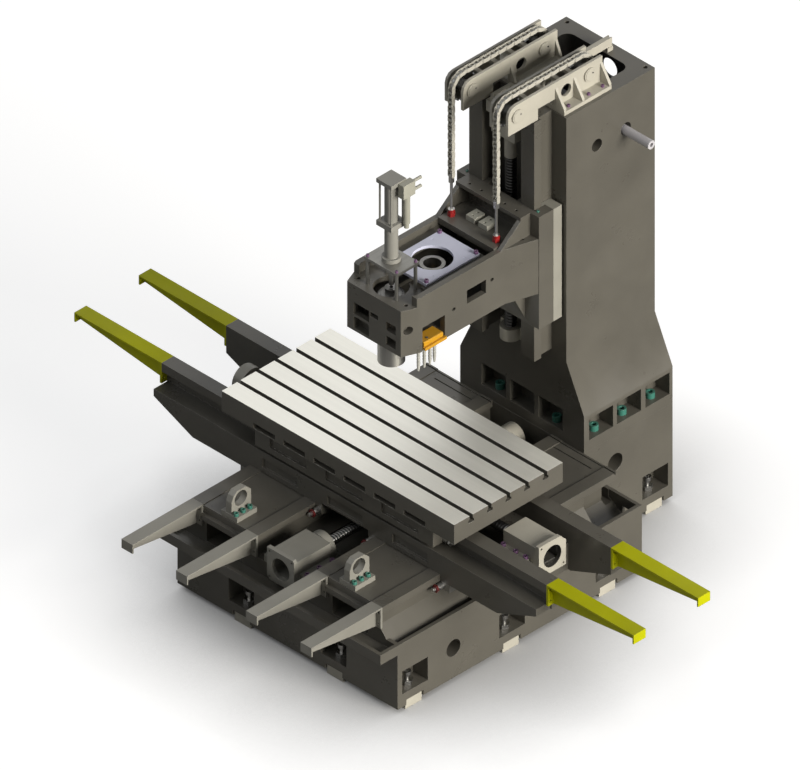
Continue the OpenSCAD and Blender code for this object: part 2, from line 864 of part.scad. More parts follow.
module table_plate() color("#c9c8c0") {
    z_slot = table_top - slot_throat;
    difference() {
        union() {
            translate([-table_l / 2, saddle_y - table_w / 2, table_z])
                cube([table_l, table_w, table_t]);
            for (y = [saddle_y - skirt_hw, x_rear - 8])
                box(-skirt_l, skirt_l, y, y + skirt_hw - x_way_gap / 2 + 8,
                    x_way_z + slide_gap, table_z + touch);
            for (s = [-1, 1])
                translate([-skirt_l, saddle_y + s * (skirt_hw + x_way_y + x_way_w / 2 + slide_gap) / 2
                    - (skirt_hw - x_way_y - x_way_w / 2 - slide_gap) / 2, skirt_z1])
                    cube([2 * skirt_l, skirt_hw - x_way_y - x_way_w / 2 - slide_gap,
                        table_z - skirt_z1 - 1]);
            box(-x_nut_x, 80, saddle_y - 64, saddle_y + 64, floor_z - 15, table_z);
        }
        for (i = [0:slot_n - 1]) {
            y = saddle_y + (i - (slot_n - 1) / 2) * slot_pitch;
            box(-table_l / 2 - 1, table_l / 2 + 1, y - slot_w / 2, y + slot_w / 2,
                z_slot - 1, table_top + 1);
            box(-table_l / 2 - 1, table_l / 2 + 1, y - slot_t_w / 2, y + slot_t_w / 2,
                z_slot - slot_t_h, z_slot);
        }
        rod_x(2 * nut_r + 0.2, -x_nut_x - 1, 81, saddle_y, x_screw_z);
        for (s = [-1, 1], x = [-360, 0, 360])
            translate([x, saddle_y + s * skirt_hw, skirt_z1 + 62])
                cube([240, 24, 60], center = true);
    }
}

module table_keepers() color("#8d8b83") {
    y1 = x_way_y + x_way_w / 2 + slide_gap;
    y0 = x_way_gap / 2 + x_web_t + 2;
    z1 = x_way_z - x_way_t - slide_gap;
    for (s = [-1, 1], x = [-skirt_l, 40])
        translate([x, saddle_y + (s > 0 ? y0 : -y1), skirt_z1])
            cube([skirt_l - 40, y1 - y0, z1 - skirt_z1]);
    translate([skirt_l, saddle_y - (y0 + y1) / 2 - 4, skirt_z1 + 14])
        rotate([0, 0, 90])
            gib_adjuster();
}

module x_nut() color("#8e8e88")
    translate([80, saddle_y, x_screw_z])
        rotate([0, -90, 0])
            ball_nut(screw_d + 2 * run_gap, nut_r, nut_flange_r, 185);

module column_casting() color("#4c4b47") {
    difference() {
        union() {
            bar_y([[-foot_hw, deck_z], [foot_hw, deck_z], [foot_hw, flare_z],
                [col_hw, flare_top], [col_hw, col_top], [-col_hw, col_top],
                [-col_hw, flare_top], [-foot_hw, flare_z]], bed_d, column_back);
            both_sides() {
                box(z_way_inner, z_way_outer, z_way_front, z_way_back, z_way_z, col_top);
                box(z_way_inner + 15, z_way_outer - 20, z_way_back - 1, bed_d + 1,
                    z_way_z, col_top);
            }
        }
        box(-shaft_w, shaft_w, shaft_front + shaft_r, shaft_back - shaft_r, deck_z + 90, col_top + 1);
        box(shaft_r - shaft_w, shaft_w - shaft_r, shaft_front, shaft_back, deck_z + 90, col_top + 1);
        for (x = [shaft_r - shaft_w, shaft_w - shaft_r], y = [shaft_front + shaft_r, shaft_back - shaft_r])
            rod_z(2 * shaft_r, deck_z + 90, col_top + 1, x, y);
        both_sides() {
            for (y = [bed_d + 32, bed_d + 212, bed_d + 396])
                box(foot_hw - 90, foot_hw + 1, y, y + 155, pocket_z, pocket_z + bolt_pocket_h);
            box(104, 262, bed_d - 1, bed_d + 78, pocket_z, pocket_z + bolt_pocket_h);
            for (y = [bed_d + 31, column_back - 29])
                rod_z(22, col_top - 60, col_top + 1, 252, y);
            rod_x(bar_hole_d, shaft_w - 1, foot_hw, bar_y, bar_z);
            rod_x(bar_hole_d, shaft_w - 1, foot_hw, 1711, bar_z);
            for (p = column_bolt_spots)
                rod_z(col_bolt_d, deck_z - 1, pocket_z + 1, p[0], p[1]);
        }
        box(-79, 79, bed_d - 1, bed_d + 78, pocket_z, pocket_z + bolt_pocket_h);
        rod_y(90, shaft_back - 1, column_back + 1, 0, col_top - 165);
    }
}

module column_bolts()
    both_sides()
        for (p = column_bolt_spots)
            translate([p[0], p[1], pocket_z])
                socket_screw(col_bolt_d, 130);

module base_screws() color("#2f7d6b") {
    ring_bracket_screws();
    y_drive_screws();
    column_bolts();
}

module lifting_bar() color("#b5b5b0")
    difference() {
        rod_x(bar_d, -451, 451, bar_y, bar_z - (bar_hole_d - bar_d) / 2 + 0.3);
        rod_x(20, -452, 452, bar_y, bar_z - (bar_hole_d - bar_d) / 2 + 0.3);
    }

module z_motor_bracket() color("#cfc9b8") {
    difference() {
        union() {
            translate([0, z_screw_y, col_top + 2])
                motor_flange(20, z_flange_w / 2, z_pilot_d, z_flange_pcd, z_flange_hole_d);
            box(-80, 80, z_screw_y - 78, bed_d, col_top - 60, col_top + 2 + touch);
            box(-75, 75, z_screw_y - 50, bed_d, col_top - 185, col_top - 59);
            rod_z(59, col_top - 310, col_top - 184, 0, z_screw_y);
        }
        box(-60, 60, z_screw_y - 45, z_screw_y + 55, col_top - 140, col_top + 3);
        rod_z(journal_d + 2 * run_gap, col_top - 351, col_top - 139, 0, z_screw_y);
        rod_z(z_pilot_d, col_top, col_top + 30, 0, z_screw_y);
    }
}

module z_lower_bearing() color("#cfc9b8")
    difference() {
        union() {
            box(-75, 75, z_screw_y + 10, bed_d, z_way_z + 12, z_way_z + 77);
            rod_z(100, z_way_z + 12, z_way_z + 77, 0, z_screw_y);
        }
        rod_z(journal_d + 2 * run_gap, z_way_z + 11, z_way_z + 78, 0, z_screw_y);
    }

module z_ballscrew() color("#b5b5b0")
    translate([0, z_screw_y, z_way_z + 80])
        ballscrew(2 * z_screw_r, col_top - 315 - z_way_z - 80, 64, 220);

module top_beam() color("#8d8b83")
    difference() {
        union() {
            box(20, 45, 1560, 2050, col_top + 22, col_top + 67);
            box(14, 51, bed_d + 20, shaft_front - 6, col_top, col_top + 22 + touch);
            box(14, 51, shaft_back + 8, 2050, col_top, col_top + 22 + touch);
            box(20, 45, bed_d + 20, 1561, col_top + 22, col_top + 40);
        }
        rod_z(13, col_top - 1, col_top + 80, 32.5, bed_d + 34);
        rod_z(13, col_top - 1, col_top + 80, 32.5, shaft_back + 40);
    }

module bracket_plate(x)
    difference() {
        bar_x([[1219, col_top + 5], [1412, col_top + 5], [1412, col_top + 65],
            [1522, col_top + 65], [1522, col_top], [1827, col_top], [1827, bracket_z],
            [1269, bracket_z], [1244, bracket_z - 7], [1226, bracket_z - 25],
            [1219, bracket_z - 50]], x, x + bracket_t);
        rod_x(65, x - 1, x + bracket_t + 1, 1593, axle_z - 14);
        for (y = [axle_front, axle_rear])
            rod_x(axle_d, x - 1, x + bracket_t + 1, y, axle_z);
    }

module chain_bracket() {
    out = bracket_w / 2;
    translate([chain_x, 0, 0]) {
        difference() {
            union() {
                bracket_plate(-out);
                bracket_plate(out - bracket_t);
                box(out - touch, out + 60, 1522, 1827, col_top, col_top + 20);
                box(-out - 34, -out + touch, 1522, 1827, col_top, col_top + 20);
                for (y = [1350, 1455, 1560, 1640])
                    box(-out + 1, out - 1, y, y + 24, axle_z + 28, axle_z + 46);
                box(-out + 1, out - 1, 1522, 1600, col_top, col_top + 20);
            }
            for (y = [1570, 1700, 1790])
                rod_z(16, col_top - 1, col_top + 21, out + 38, y);
        }
        for (y = [1522, 1640, 1812])
            bar_y([[out - 1, col_top + 19], [out + 58, col_top + 19],
                [out + 58, col_top + 30], [out - 1, bracket_z - 30]], y, y + 15);
        for (y = [1522, 1812])
            bar_y([[-out + 1, col_top + 19], [-out - 32, col_top + 19],
                [-out - 32, col_top + 26], [-out + 1, bracket_z - 50]], y, y + 15);
        for (y = [axle_front, axle_rear]) {
            rod_x(axle_d, -out - 4, out + 4, y, axle_z);
            rod_x(70, out - touch, out + 9, y, axle_z);
            rod_x(70, -out - 9, -out + touch, y, axle_z);
        }
    }
}

module chain_bracket_right() color("#ded8c4")
    chain_bracket();

module chain_bracket_left() color("#ded8c4")
    mirror([1, 0, 0])
        chain_bracket();

module sprocket(x, y, turn = 0) color("#8e8e88")
    translate([x, y, axle_z])
        rotate([turn, 0, 0])
            rotate([0, 90, 0])
                difference() {
                    union() {
                        translate([0, 0, -sprocket_t / 2])
                            cylinder(h = sprocket_t, d = 2 * chain_in - 12);
                        translate([0, 0, -sprocket_t / 2])
                            difference() {
                                cylinder(h = sprocket_t, r = pitch_r + 5, $fn = 72);
                                for (i = [0:teeth - 1])
                                    rotate([0, 0, i * 360 / teeth])
                                        translate([pitch_r, 0, -1])
                                            cylinder(h = sprocket_t + 2, d = roller_d + 0.8);
                            }
                        translate([0, 0, -bracket_w / 2 + bracket_t + 0.5])
                            cylinder(h = bracket_w - 2 * bracket_t - 1, d = axle_d + 24);
                    }
                    translate([0, 0, -bracket_w])
                        cylinder(h = 2 * bracket_w, d = axle_d + 2 * run_gap);
                }

module sprocket_front_left()
    sprocket(-chain_x, axle_front);

module sprocket_front_right()
    sprocket(chain_x, axle_front);

module sprocket_rear_left()
    sprocket(-chain_x, axle_rear, rear_turn);

module sprocket_rear_right()
    sprocket(chain_x, axle_rear, rear_turn);

module plate_band()
    for (s = [-1, 1])
        translate([s * (chain_w - chain_t) / 2, 0, 0])
            children();

module quarter_band(y, a)
    translate([-chain_t / 2, y, axle_z])
        rotate([90, 0, 90])
            rotate([0, 0, a])
                difference() {
                    intersection() {
                        cylinder(h = chain_t, r = chain_out, $fn = 96);
                        cube([chain_out + 1, chain_out + 1, chain_t]);
                    }
                    translate([0, 0, -1])
                        cylinder(h = chain_t + 2, r = chain_in, $fn = 96);
                }

module chain_tops() color("#d8d4c6")
    both_sides()
        translate([chain_x, 0, 0]) {
            plate_band() {
                quarter_band(axle_front, 90);
                quarter_band(axle_rear, 0);
                box(-chain_t / 2, chain_t / 2, axle_front - touch, axle_rear + touch,
                    axle_z + chain_in, axle_z + chain_out);
            }
            for (i = [4:floor((axle_rear - axle_front) / chain_pitch) - 4])
                rod_x(roller_d, -chain_w / 2 + 1, chain_w / 2 - 1,
                    axle_front + i * chain_pitch, axle_z + pitch_r);
        }

module strand(y, z0) {
    n = floor((col_top - z0) / chain_pitch);
    plate_band()
        box(-chain_t / 2, chain_t / 2, y - chain_h / 2, y + chain_h / 2, z0, axle_z);
    for (i = [0:n])
        rod_x(roller_d, -chain_w / 2 + 1, chain_w / 2 - 1, y, z0 + 12 + i * chain_pitch);
}

module chain_front_strands() color("#d8d4c6")
    both_sides()
        translate([chain_x, 0, 0])
            strand(strand_front, anchor_z);

module chain_rear_strands() color("#d8d4c6")
    both_sides()
        translate([chain_x, 0, 0])
            strand(strand_rear, lug_top);

module counterweight() color("#4c4b47") {
    difference() {
        translate([0, 0, weight_z])
            linear_extrude(weight_h)
                polygon([[-weight_hw + 45, weight_front], [weight_hw - 45, weight_front],
                    [weight_hw, weight_front + 45], [weight_hw, weight_back - 45],
                    [weight_hw - 45, weight_back], [-weight_hw + 45, weight_back],
                    [-weight_hw, weight_back - 45], [-weight_hw, weight_front + 45]]);
        translate([0, 0, weight_z + weight_h / 2])
            cube([weight_hw, 10, weight_h + 2], center = true);
    }
    both_sides()
        box(chain_x - chain_w / 2 + chain_t + 0.5, chain_x + chain_w / 2 - chain_t - 0.5,
            strand_rear - 12, strand_rear + 12, weight_top - touch, lug_top + 4);
    both_sides()
        rod_x(14, chain_x - chain_w / 2 - 6, chain_x + chain_w / 2 + 6, strand_rear, lug_top - 8);
}

module head_plan(grow)
    polygon([[-173 + grow, spindle_y - 112 + grow], [173 - grow, spindle_y - 112 + grow],
        [head_hw - grow, spindle_y - 20], [head_hw - grow, slide_front - 168],
        [slide_hw - 3 - grow, slide_front], [-slide_hw + 3 + grow, slide_front],
        [-head_hw + grow, slide_front - 168], [-head_hw + grow, spindle_y - 20]]);

module slide_plan() {
    g = 0.3;
    polygon([for (s = [1, -1]) each [for (p = (s > 0 ? slide_side(g) : rev(slide_side(g))))
        [s * p[0], p[1]]]]);
}

function slide_side(g) = [
    [0, slide_front], [slide_hw, slide_front], [slide_hw, z_way_back + 24],
    [z_way_outer + g, z_way_back + 24], [z_way_outer + g, z_way_front - g],
    [z_way_inner - g, z_way_front - g], [z_way_inner - g, z_way_back],
    [channel_hw, z_way_back], [channel_hw, z_way_front + 3], [0, z_way_front + 3]];

function rev(l) = [for (i = [len(l) - 1:-1:0]) l[i]];

module head_windows() {
    for (z = [[1545, 1610], [1465, 1532]]) {
        box(-132, -32, 500, 575, z[0], z[1]);
        box(78, 140, 500, 575, z[0] + 12, z[1] - 4);
    }
    box(-24, 27, 500, 570, 1585, 1610);
    box(head_in - 1, head_hw + 1, 948, 1071, 1575, 1649);
    rod_x(45, 150, head_hw + 1, 592, 1591);
    rod_x(20, head_in - 10, head_hw + 1, 864, 1587);
    rod_x(20, head_in - 10, head_hw + 1, 1110, 1629);
    box(148, head_hw + 1, spindle_y - 9, spindle_y + 136, head_z - 1, head_z + 132);
}

module head_casting() color("#4c4b47") {
    difference() {
        union() {
            difference() {
                translate([0, 0, head_z])
                    linear_extrude(head_top - head_z)
                        head_plan(0);
                difference() {
                    translate([0, 0, head_z + head_floor_t])
                        linear_extrude(head_top)
                            head_plan(head_wall);
                    box(-slide_hw, slide_hw, slide_front - 45, slide_front + 1, head_z, slide_top);
                }
                box(-head_hw - 1, head_hw + 1, spindle_y - 170, spindle_y - 38, head_deck_z, slide_top);
            }
            intersection() {
                translate([0, 0, deck_under])
                    linear_extrude(head_deck_z - deck_under)
                        head_plan(head_wall - 1);
                box(-head_hw, head_hw, spindle_y - 170, spindle_y + 78, head_z, head_top);
            }
            rod_z(nose_d + 56, head_z, boss_top, 0, spindle_y);
            box(-16, 16, spindle_y - 90, spindle_y + 5, head_z + 1, boss_top - 20);
            both_sides()
                box(head_in - 66, head_in + 1, spindle_y + 78 - 1, 1130, motor_plate_z
                    - motor_plate_t - 30, motor_plate_z - motor_plate_t);
            box(-head_in - 1, head_in + 1, motor_y + 215, slide_front - 44,
                motor_plate_z - 4, head_top + 8);
            translate([0, 0, slide_z])
                linear_extrude(slide_top - slide_z)
                    slide_plan();
            box(-channel_hw - 1, channel_hw + 1, z_way_front + 2, bed_d - 12, z_nut_z,
                z_nut_z + 100);
            both_sides()
                bar_x([[slide_front - 193, head_top - 1], [slide_front - 63, slide_top - 19],
                    [slide_front - 63, slide_top], [slide_front + 1, slide_top],
                    [slide_front + 1, head_top - 1]], 187, 209);
            box(-188, 188, slide_front - 63, slide_front + 1, slide_top - 20, slide_top);
            both_sides()
                bar_x([[slide_front + 1, slide_z + 20], [slide_front - 90, head_z + 1],
                    [slide_front + 1, head_z + 1]], 150, 175);
        }
        rod_z(nose_d + 0.1, head_z - 1, boss_top + 1, 0, spindle_y);
        rod_z(170, deck_under - 1, head_deck_z + 1, 0, spindle_y);
        rod_z(2 * z_nut_r + 0.2, z_nut_z - 1, z_nut_z + 101, 0, z_screw_y);
        both_sides()
            rod_z(26, 1700, head_top + 20, chain_x, strand_front);
        for (x = [-post_x, post_x], y = [-post_y, post_y])
            rod_z(10, head_deck_z - 25, head_deck_z + 1, x, spindle_y + 1.5 + y);
        for (x = [-153, 153])
            rod_z(20, head_deck_z - 20, head_deck_z + 1, x, spindle_y - 59);
        for (x = [-150, -75, 0, 75, 150])
            rod_z(14, slide_top - 15, slide_top + 1, x, slide_front - 32);
        head_windows();
    }
}

module head_keepers() color("#cfc9b8")
    both_sides()
        translate([0, 0, slide_z])
            linear_extrude(slide_top - slide_z)
                polygon([[z_way_outer - 19, z_way_back + 0.3], [z_way_outer - 1, z_way_back + 0.3],
                    [z_way_outer - 1, z_way_back + 24], [slide_hw, z_way_back + 24],
                    [slide_hw, bed_d - 9], [z_way_outer - 19, bed_d - 9]]);

module z_nut() color("#8e8e88")
    translate([0, z_screw_y, z_nut_z])
        ball_nut(2 * z_screw_r + 2 * run_gap, z_nut_r, z_nut_r + 10, 120);

module chain_anchors() color("#a33b35")
    both_sides() {
        rod_z(14, 1735, anchor_z - 36, chain_x, strand_front);
        translate([chain_x, strand_front, head_top + 8])
            cylinder(h = 20, d = 38, $fn = 6);
        rod_z(32, head_top + 28, head_top + 46, chain_x, strand_front);
        box(chain_x - chain_w / 2 + chain_t + 0.5, chain_x + chain_w / 2 - chain_t - 0.5,
            strand_front - 10, strand_front + 10, anchor_z - 40, anchor_z + 2);
    }

module spindle_cartridge() color("#b5b5b0")
    difference() {
        union() {
            rod_z(nose_d, nose_z, boss_top + 3, 0, spindle_y);
            rod_z(nose_d + 30, boss_top + 0.01, boss_top + 10, 0, spindle_y);
        }
        rod_z(shaft_d + 2 * run_gap, nose_z - 1, boss_top + 11, 0, spindle_y);
    }

module toothed_pulley(z0, z1, bore) {
    difference() {
        union() {
            rod_z(pulley_d, z0 + 3, z1 - 3, 0, 0);
            rod_z(pulley_d - 20, z0, z1, 0, 0);
        }
        rod_z(bore, z0 - 1, z1 + 1, 0, 0);
    }
}

module spindle_shaft() color("#9a9a94")
    translate([0, spindle_y, 0]) {
        difference() {
            union() {
                rod_z(shaft_d, nose_z - 4, boss_top + 11, 0, 0);
                rod_z(60, boss_top + 10, spindle_top, 0, 0);
            }
            translate([0, 0, nose_z - 5])
                cylinder(h = taper_h + 1, d1 = taper_d + 0.3,
                    d2 = taper_d - (taper_h + 1) * 7 / 24);
            rod_z(18, nose_z, spindle_top + 1, 0, 0);
        }
        for (s = [-1, 1])
            translate([s * 29, 0, nose_z - 8])
                cube([14, 12, 10], center = true);
        toothed_pulley(belt_z - belt_w / 2 - 3, belt_z + belt_w / 2 + 3, 59.9);
    }

module motor_plate() color("#a9b3c4")
    difference() {
        translate([-motor_plate_hw, motor_y + 4 - motor_plate_l / 2,
            motor_plate_z - motor_plate_t])
            cube([2 * motor_plate_hw, motor_plate_l, motor_plate_t]);
        rod_z(motor_bore_d, 0, 3000, 0, motor_y);
        translate([0, motor_y, motor_plate_z])
            bolt_square(290, 13, 0);
        for (x = [-1, 1], y = [-1, 1])
            rod_z(14, 0, 3000, x * (motor_plate_hw - 12),
                motor_y + 4 + y * (motor_plate_l / 2 - 14));
    }

module plate_screws() color("#6b4a63") {
    for (x = [-1, 1], y = [-1, 1])
        translate([x * (motor_plate_hw - 12), motor_y + 4 + y * (motor_plate_l / 2 - 14),
            motor_plate_z])
            socket_screw(14, motor_plate_t);
    for (x = [-post_x, post_x], y = [-post_y, post_y])
        translate([x, spindle_y + 1.5 + y, cyl_plate_z])
            socket_screw(10, cyl_plate_t - 1);
}

module motor_pulley() color("#b5b5b0")
    translate([0, motor_y, 0])
        difference() {
            union() {
                toothed_pulley(belt_z - belt_w / 2 - 3, belt_z + belt_w / 2 + 3, 60);
                rod_z(pulley_d, belt_z + belt_w / 2 + 2.9, head_deck_z - 1, 0, 0);
            }
            rod_z(85, belt_z - 30, head_deck_z, 0, 0);
        }

module drive_belt() color("#2b2b2b")
    translate([0, 0, belt_z - belt_w / 2 + 4])
        linear_extrude(belt_w - 8)
            difference() {
                union() {
                    for (y = [spindle_y, motor_y])
                        translate([0, y])
                            circle(r = belt_r + belt_t, $fn = 96);
                    translate([-belt_r - belt_t, spindle_y])
                        square([2 * (belt_r + belt_t), motor_dist]);
                }
                for (y = [spindle_y, motor_y])
                    translate([0, y])
                        circle(r = belt_r, $fn = 96);
                translate([-belt_r, spindle_y])
                    square([2 * belt_r, motor_dist]);
            }

module cylinder_posts() color("#b5b5b0") {
    for (x = [-post_x, post_x], y = [-post_y, post_y])
        rod_z(post_d, head_deck_z, cyl_plate_z - cyl_plate_t, x, spindle_y + 1.5 + y);
    difference() {
        translate([-cyl_plate_hw, spindle_y + 1.5 - cyl_plate_l / 2,
            cyl_plate_z - cyl_plate_t - touch])
            cube([2 * cyl_plate_hw, cyl_plate_l, cyl_plate_t + touch]);
        rod_z(push_d + 6, 1700, 2000, 0, spindle_y);
        for (x = [-post_x, post_x], y = [-post_y, post_y])
            rod_z(10, cyl_plate_z - cyl_plate_t + 0.5, cyl_plate_z + 1, x, spindle_y + 1.5 + y);
    }
}

module release_cylinder() color("#77766d")
    translate([0, spindle_y, 0])
        difference() {
            union() {
                rod_z(90, cyl_plate_z, cyl_plate_z + 20, 0, 0);
                rod_z(barrel_d, cyl_plate_z + 19, cap_z, 0, 0);
                for (z = [cap_z, cyl_top - 22])
                    translate([-cap_w / 2, -cap_w / 2, z])
                        cube([cap_w, cap_w, z == cap_z ? 28 : 22]);
                rod_z(barrel_d, cap_z + 27, cyl_top - 21, 0, 0);
                for (x = [-1, 1], y = [-1, 1])
                    rod_z(10, cap_z + 27, cyl_top - 21, x * (cap_w / 2 - 12),
                        y * (cap_w / 2 - 12));
            }
            rod_z(push_d + 2 * run_gap, cyl_plate_z - 1, cap_z + 40, 0, 0);
        }

module release_valve() color("#b3b29a") {
    x = cap_w / 2;
    box(x, x + 36, spindle_y - 5, spindle_y + 70, cyl_top - 80, cyl_top - 6);
    for (z = [cyl_top - 66, cyl_top - 18])
        rod_y(16, spindle_y + 69, spindle_y + 122, x + 20, z);
    rod_z(34, cap_z + 30, cyl_top - 79, x + 19, spindle_y + 30);
    rod_z(24, cap_z + 4, cap_z + 31, x + 19, spindle_y + 30);
}

module push_rod() color("#b5b5b0")
    rod_z(push_d, spindle_top + 15, cap_z + 20, 0, spindle_y);

module coolant_block() color("#b0643a")
    difference() {
        union() {
            box(148, 215, spindle_y - 6, spindle_y + 120, head_z + 9, head_z + 82);
            for (y = [6, 37, 79])
                rod_z(19, head_z - 107, head_z + 9 + touch, 192, spindle_y + y);
        }
        for (y = [6, 37, 79])
            rod_z(9, head_z - 108, head_z - 60, 192, spindle_y + y);
    }

module oil_manifolds() color("#c9c8c0")
    for (x = [-51, 29])
        translate([x - 26, 1228, head_top + 8])
            difference() {
                cube([56, 68, 26]);
                for (y = [17, 51])
                    translate([28, y, 14])
                        cylinder(h = 20, d = 12);
            }

place() base_casting();
place() leveling_pads();
place() leveling_screws();
place() ring_bracket_left();
place() ring_bracket_right();
place() base_screws();
place() y_motor_bracket();
place() y_rear_bearing();
place() y_ballscrew();
place() y_arm_outer_left();
place() y_arm_inner_left();
place() y_arm_inner_right();
place() y_arm_outer_right();
place() saddle_casting();
place() saddle_keepers();
place() gib_adjusters();
place() y_nut();
place() x_motor_bracket();
place() x_end_bearing();
place() x_drive_screws();
place() x_ballscrew();
place() x_arm_front_left();
place() x_arm_rear_left();
place() x_arm_front_right();
place() x_arm_rear_right();
place() table_plate();
place() table_keepers();
place() x_nut();
place() column_casting();
place() lifting_bar();
place() z_motor_bracket();
place() z_lower_bearing();
place() z_ballscrew();
place() top_beam();
place() chain_bracket_left();
place() chain_bracket_right();
place() sprocket_front_left();
place() sprocket_front_right();
place() sprocket_rear_left();
place() sprocket_rear_right();
place() chain_tops();
place() chain_front_strands();
place() chain_rear_strands();
place() counterweight();
place() head_casting();
place() head_keepers();
place() z_nut();
place() chain_anchors();
place() spindle_cartridge();
place() spindle_shaft();
place() motor_plate();
place() plate_screws();
place() motor_pulley();
place() drive_belt();
place() cylinder_posts();
place() release_cylinder();
place() release_valve();
place() push_rod();
place() coolant_block();
place() oil_manifolds();
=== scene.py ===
"""Vertical machining center without its covers, dressed for a studio picture."""
import json
import math

import bmesh
import bpy
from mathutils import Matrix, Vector


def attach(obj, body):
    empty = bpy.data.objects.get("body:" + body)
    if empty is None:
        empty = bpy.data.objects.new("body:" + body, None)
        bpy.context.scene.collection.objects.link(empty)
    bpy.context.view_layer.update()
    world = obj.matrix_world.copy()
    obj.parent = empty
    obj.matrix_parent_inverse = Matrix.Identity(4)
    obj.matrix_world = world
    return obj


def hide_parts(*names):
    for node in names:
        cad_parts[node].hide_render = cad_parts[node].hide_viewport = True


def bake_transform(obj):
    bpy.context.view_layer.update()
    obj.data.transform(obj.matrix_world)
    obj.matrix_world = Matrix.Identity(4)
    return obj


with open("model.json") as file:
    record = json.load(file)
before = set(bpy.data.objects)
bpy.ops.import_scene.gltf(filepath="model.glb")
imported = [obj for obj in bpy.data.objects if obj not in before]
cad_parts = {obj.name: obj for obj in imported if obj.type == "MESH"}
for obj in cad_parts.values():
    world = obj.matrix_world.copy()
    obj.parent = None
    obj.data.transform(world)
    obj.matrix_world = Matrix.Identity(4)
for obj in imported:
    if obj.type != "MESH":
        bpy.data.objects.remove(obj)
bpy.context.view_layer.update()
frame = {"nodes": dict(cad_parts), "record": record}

MM = 0.001
MID_Y = 813.5  # row frame origin, measured from the front wall of the base

# Sizes repeated from the model, in millimetres.
CHAIN_PITCH = 25.4
CHAIN_X = 145.0
AXLE_Z = 2460.0
AXLE_FRONT = 1276.0
AXLE_REAR = 1741.0
ANCHOR_Z = 1990.0
WEIGHT_PIN_Z = 1862.0
PITCH_R = CHAIN_PITCH / 2 / math.sin(math.radians(10))
SCREW_LEAD = 16.0
TABLE_TOP = 920.0
SADDLE_FRONT = 370.0
COLUMN_TOP = 2365.0
HEAD_Z = 1452.0
SPINDLE_Y = 670.0

# Details of the chains that the model leaves out, in millimetres.
ROLLER_R, ROLLER_HALF_LENGTH = 7.9, 9.1
PIN_R, PIN_HALF_LENGTH = 4.1, 14.9
OUTER_PLATE, INNER_PLATE = (11.8, 14.4), (8.5, 11.7)  # near and far face from the chain's middle
PLATE_HALF_HEIGHT, PLATE_WAIST = 10.5, 10.2
AXLE_FACE = 69.0  # from the chain's middle to the bracket's outer face
DISC_HEIGHT = 2.5

# Where paint of another colour starts and ends, in metres of the row frame.
GIB_NUT_Y = ((SADDLE_FRONT - 47 - MID_Y) * MM, (SADDLE_FRONT - 33 - MID_Y) * MM)
ANCHOR_NUT_Z = (1.765, 1.803)
LIFTING_SCREW_Z = (0.40, 0.50)
BAND_EDGE = 0.0004


def at(x, y, z):
    """A place measured in millimetres from the front wall of the base, in the row frame."""
    return Vector((x * MM, (y - MID_Y) * MM, z * MM))


# ---------------------------------------------------------------- shapes


class Shape:
    """Collects the corners and faces of one piece."""

    def __init__(self):
        self.corners = []
        self.faces = []

    def loop(self, points):
        start = len(self.corners)
        self.corners.extend(points)
        return list(range(start, start + len(points)))

    def skin(self, loops):
        """Joins equal loops of corners one after another, with flat ends."""
        rings = [self.loop(points) for points in loops]
        n = len(rings[0])
        for a, b in zip(rings, rings[1:]):
            for i in range(n):
                j = (i + 1) % n
                self.faces.append((a[i], a[j], b[j], b[i]))
        self.faces.append(tuple(reversed(rings[0])))
        self.faces.append(tuple(rings[-1]))

    def add(self, other):
        """Takes in the corners and faces of another shape."""
        start = len(self.corners)
        self.corners += other.corners
        self.faces += [tuple(start + i for i in face) for face in other.faces]

    def rod_x(self, radius, x0, x1, y, z, sides=20, chamfer=0.0):
        """A round bar along X, with chamfered ends if a chamfer is given."""
        steps = [(x0, radius), (x1, radius)]
        if chamfer:
            small = radius - chamfer
            steps = [(x0, small), (x0 + chamfer, radius), (x1 - chamfer, radius), (x1, small)]
        self.skin([[at(x, y + r * math.cos(a), z + r * math.sin(a)) for a in turns(sides)]
                   for x, r in steps])

    def socket_head(self, centre, radius, height, side=0):
        """A screw head with a chamfered rim and a six-sided recess.

        Side 0 faces up, 1 and -1 face along X.
        """
        rim, key = 0.12 * radius, 0.56 * radius
        flat_side = 0.866  # middle of a hexagon's side against its corner
        steps = [(radius, 0.0, 1.0), (radius, height - rim, 1.0), (radius - rim, height, 1.0),
                 (key, height, flat_side), (key, 0.4 * height, flat_side)]
        loops = []
        for r, h, flat in steps:
            ring = []
            for k in range(12):
                a = math.radians(30 * k)
                reach = r * (flat if k % 2 else 1.0)
                u, v = reach * math.cos(a), reach * math.sin(a)
                offset = (side * h, u, v) if side else (u, v, h)
                ring.append(at(*(c + o for c, o in zip(centre, offset))))
            loops.append(ring)
        self.skin(loops)

    def plate_x(self, outline, x0, x1):
        """A flat plate across X from its outline in Y and Z."""
        self.skin([[at(x, y, z) for y, z in outline] for x in (x0, x1)])


def turns(n):
    """The angles of one turn in equal steps."""
    return [2 * math.pi * i / n for i in range(n)]


def put_in_scene(name, data):
    thing = bpy.data.objects.new(name, data)
    bpy.context.scene.collection.objects.link(thing)
    return thing


def outward_mesh(name, shape):
    """A mesh of the shape, with all its faces turned outward."""
    mesh = bpy.data.meshes.new(name)
    mesh.from_pydata([tuple(c) for c in shape.corners], [], shape.faces)
    mesh.validate()
    sides = bmesh.new()
    sides.from_mesh(mesh)
    bmesh.ops.recalc_face_normals(sides, faces=sides.faces)
    sides.to_mesh(mesh)
    sides.free()
    mesh.update()
    return mesh


def smooth_below(mesh, angle):
    """Shades the mesh smooth, with sharp edges where faces meet at more than the angle."""
    mesh.shade_smooth()
    mesh.set_sharp_from_angle(angle=math.radians(angle))


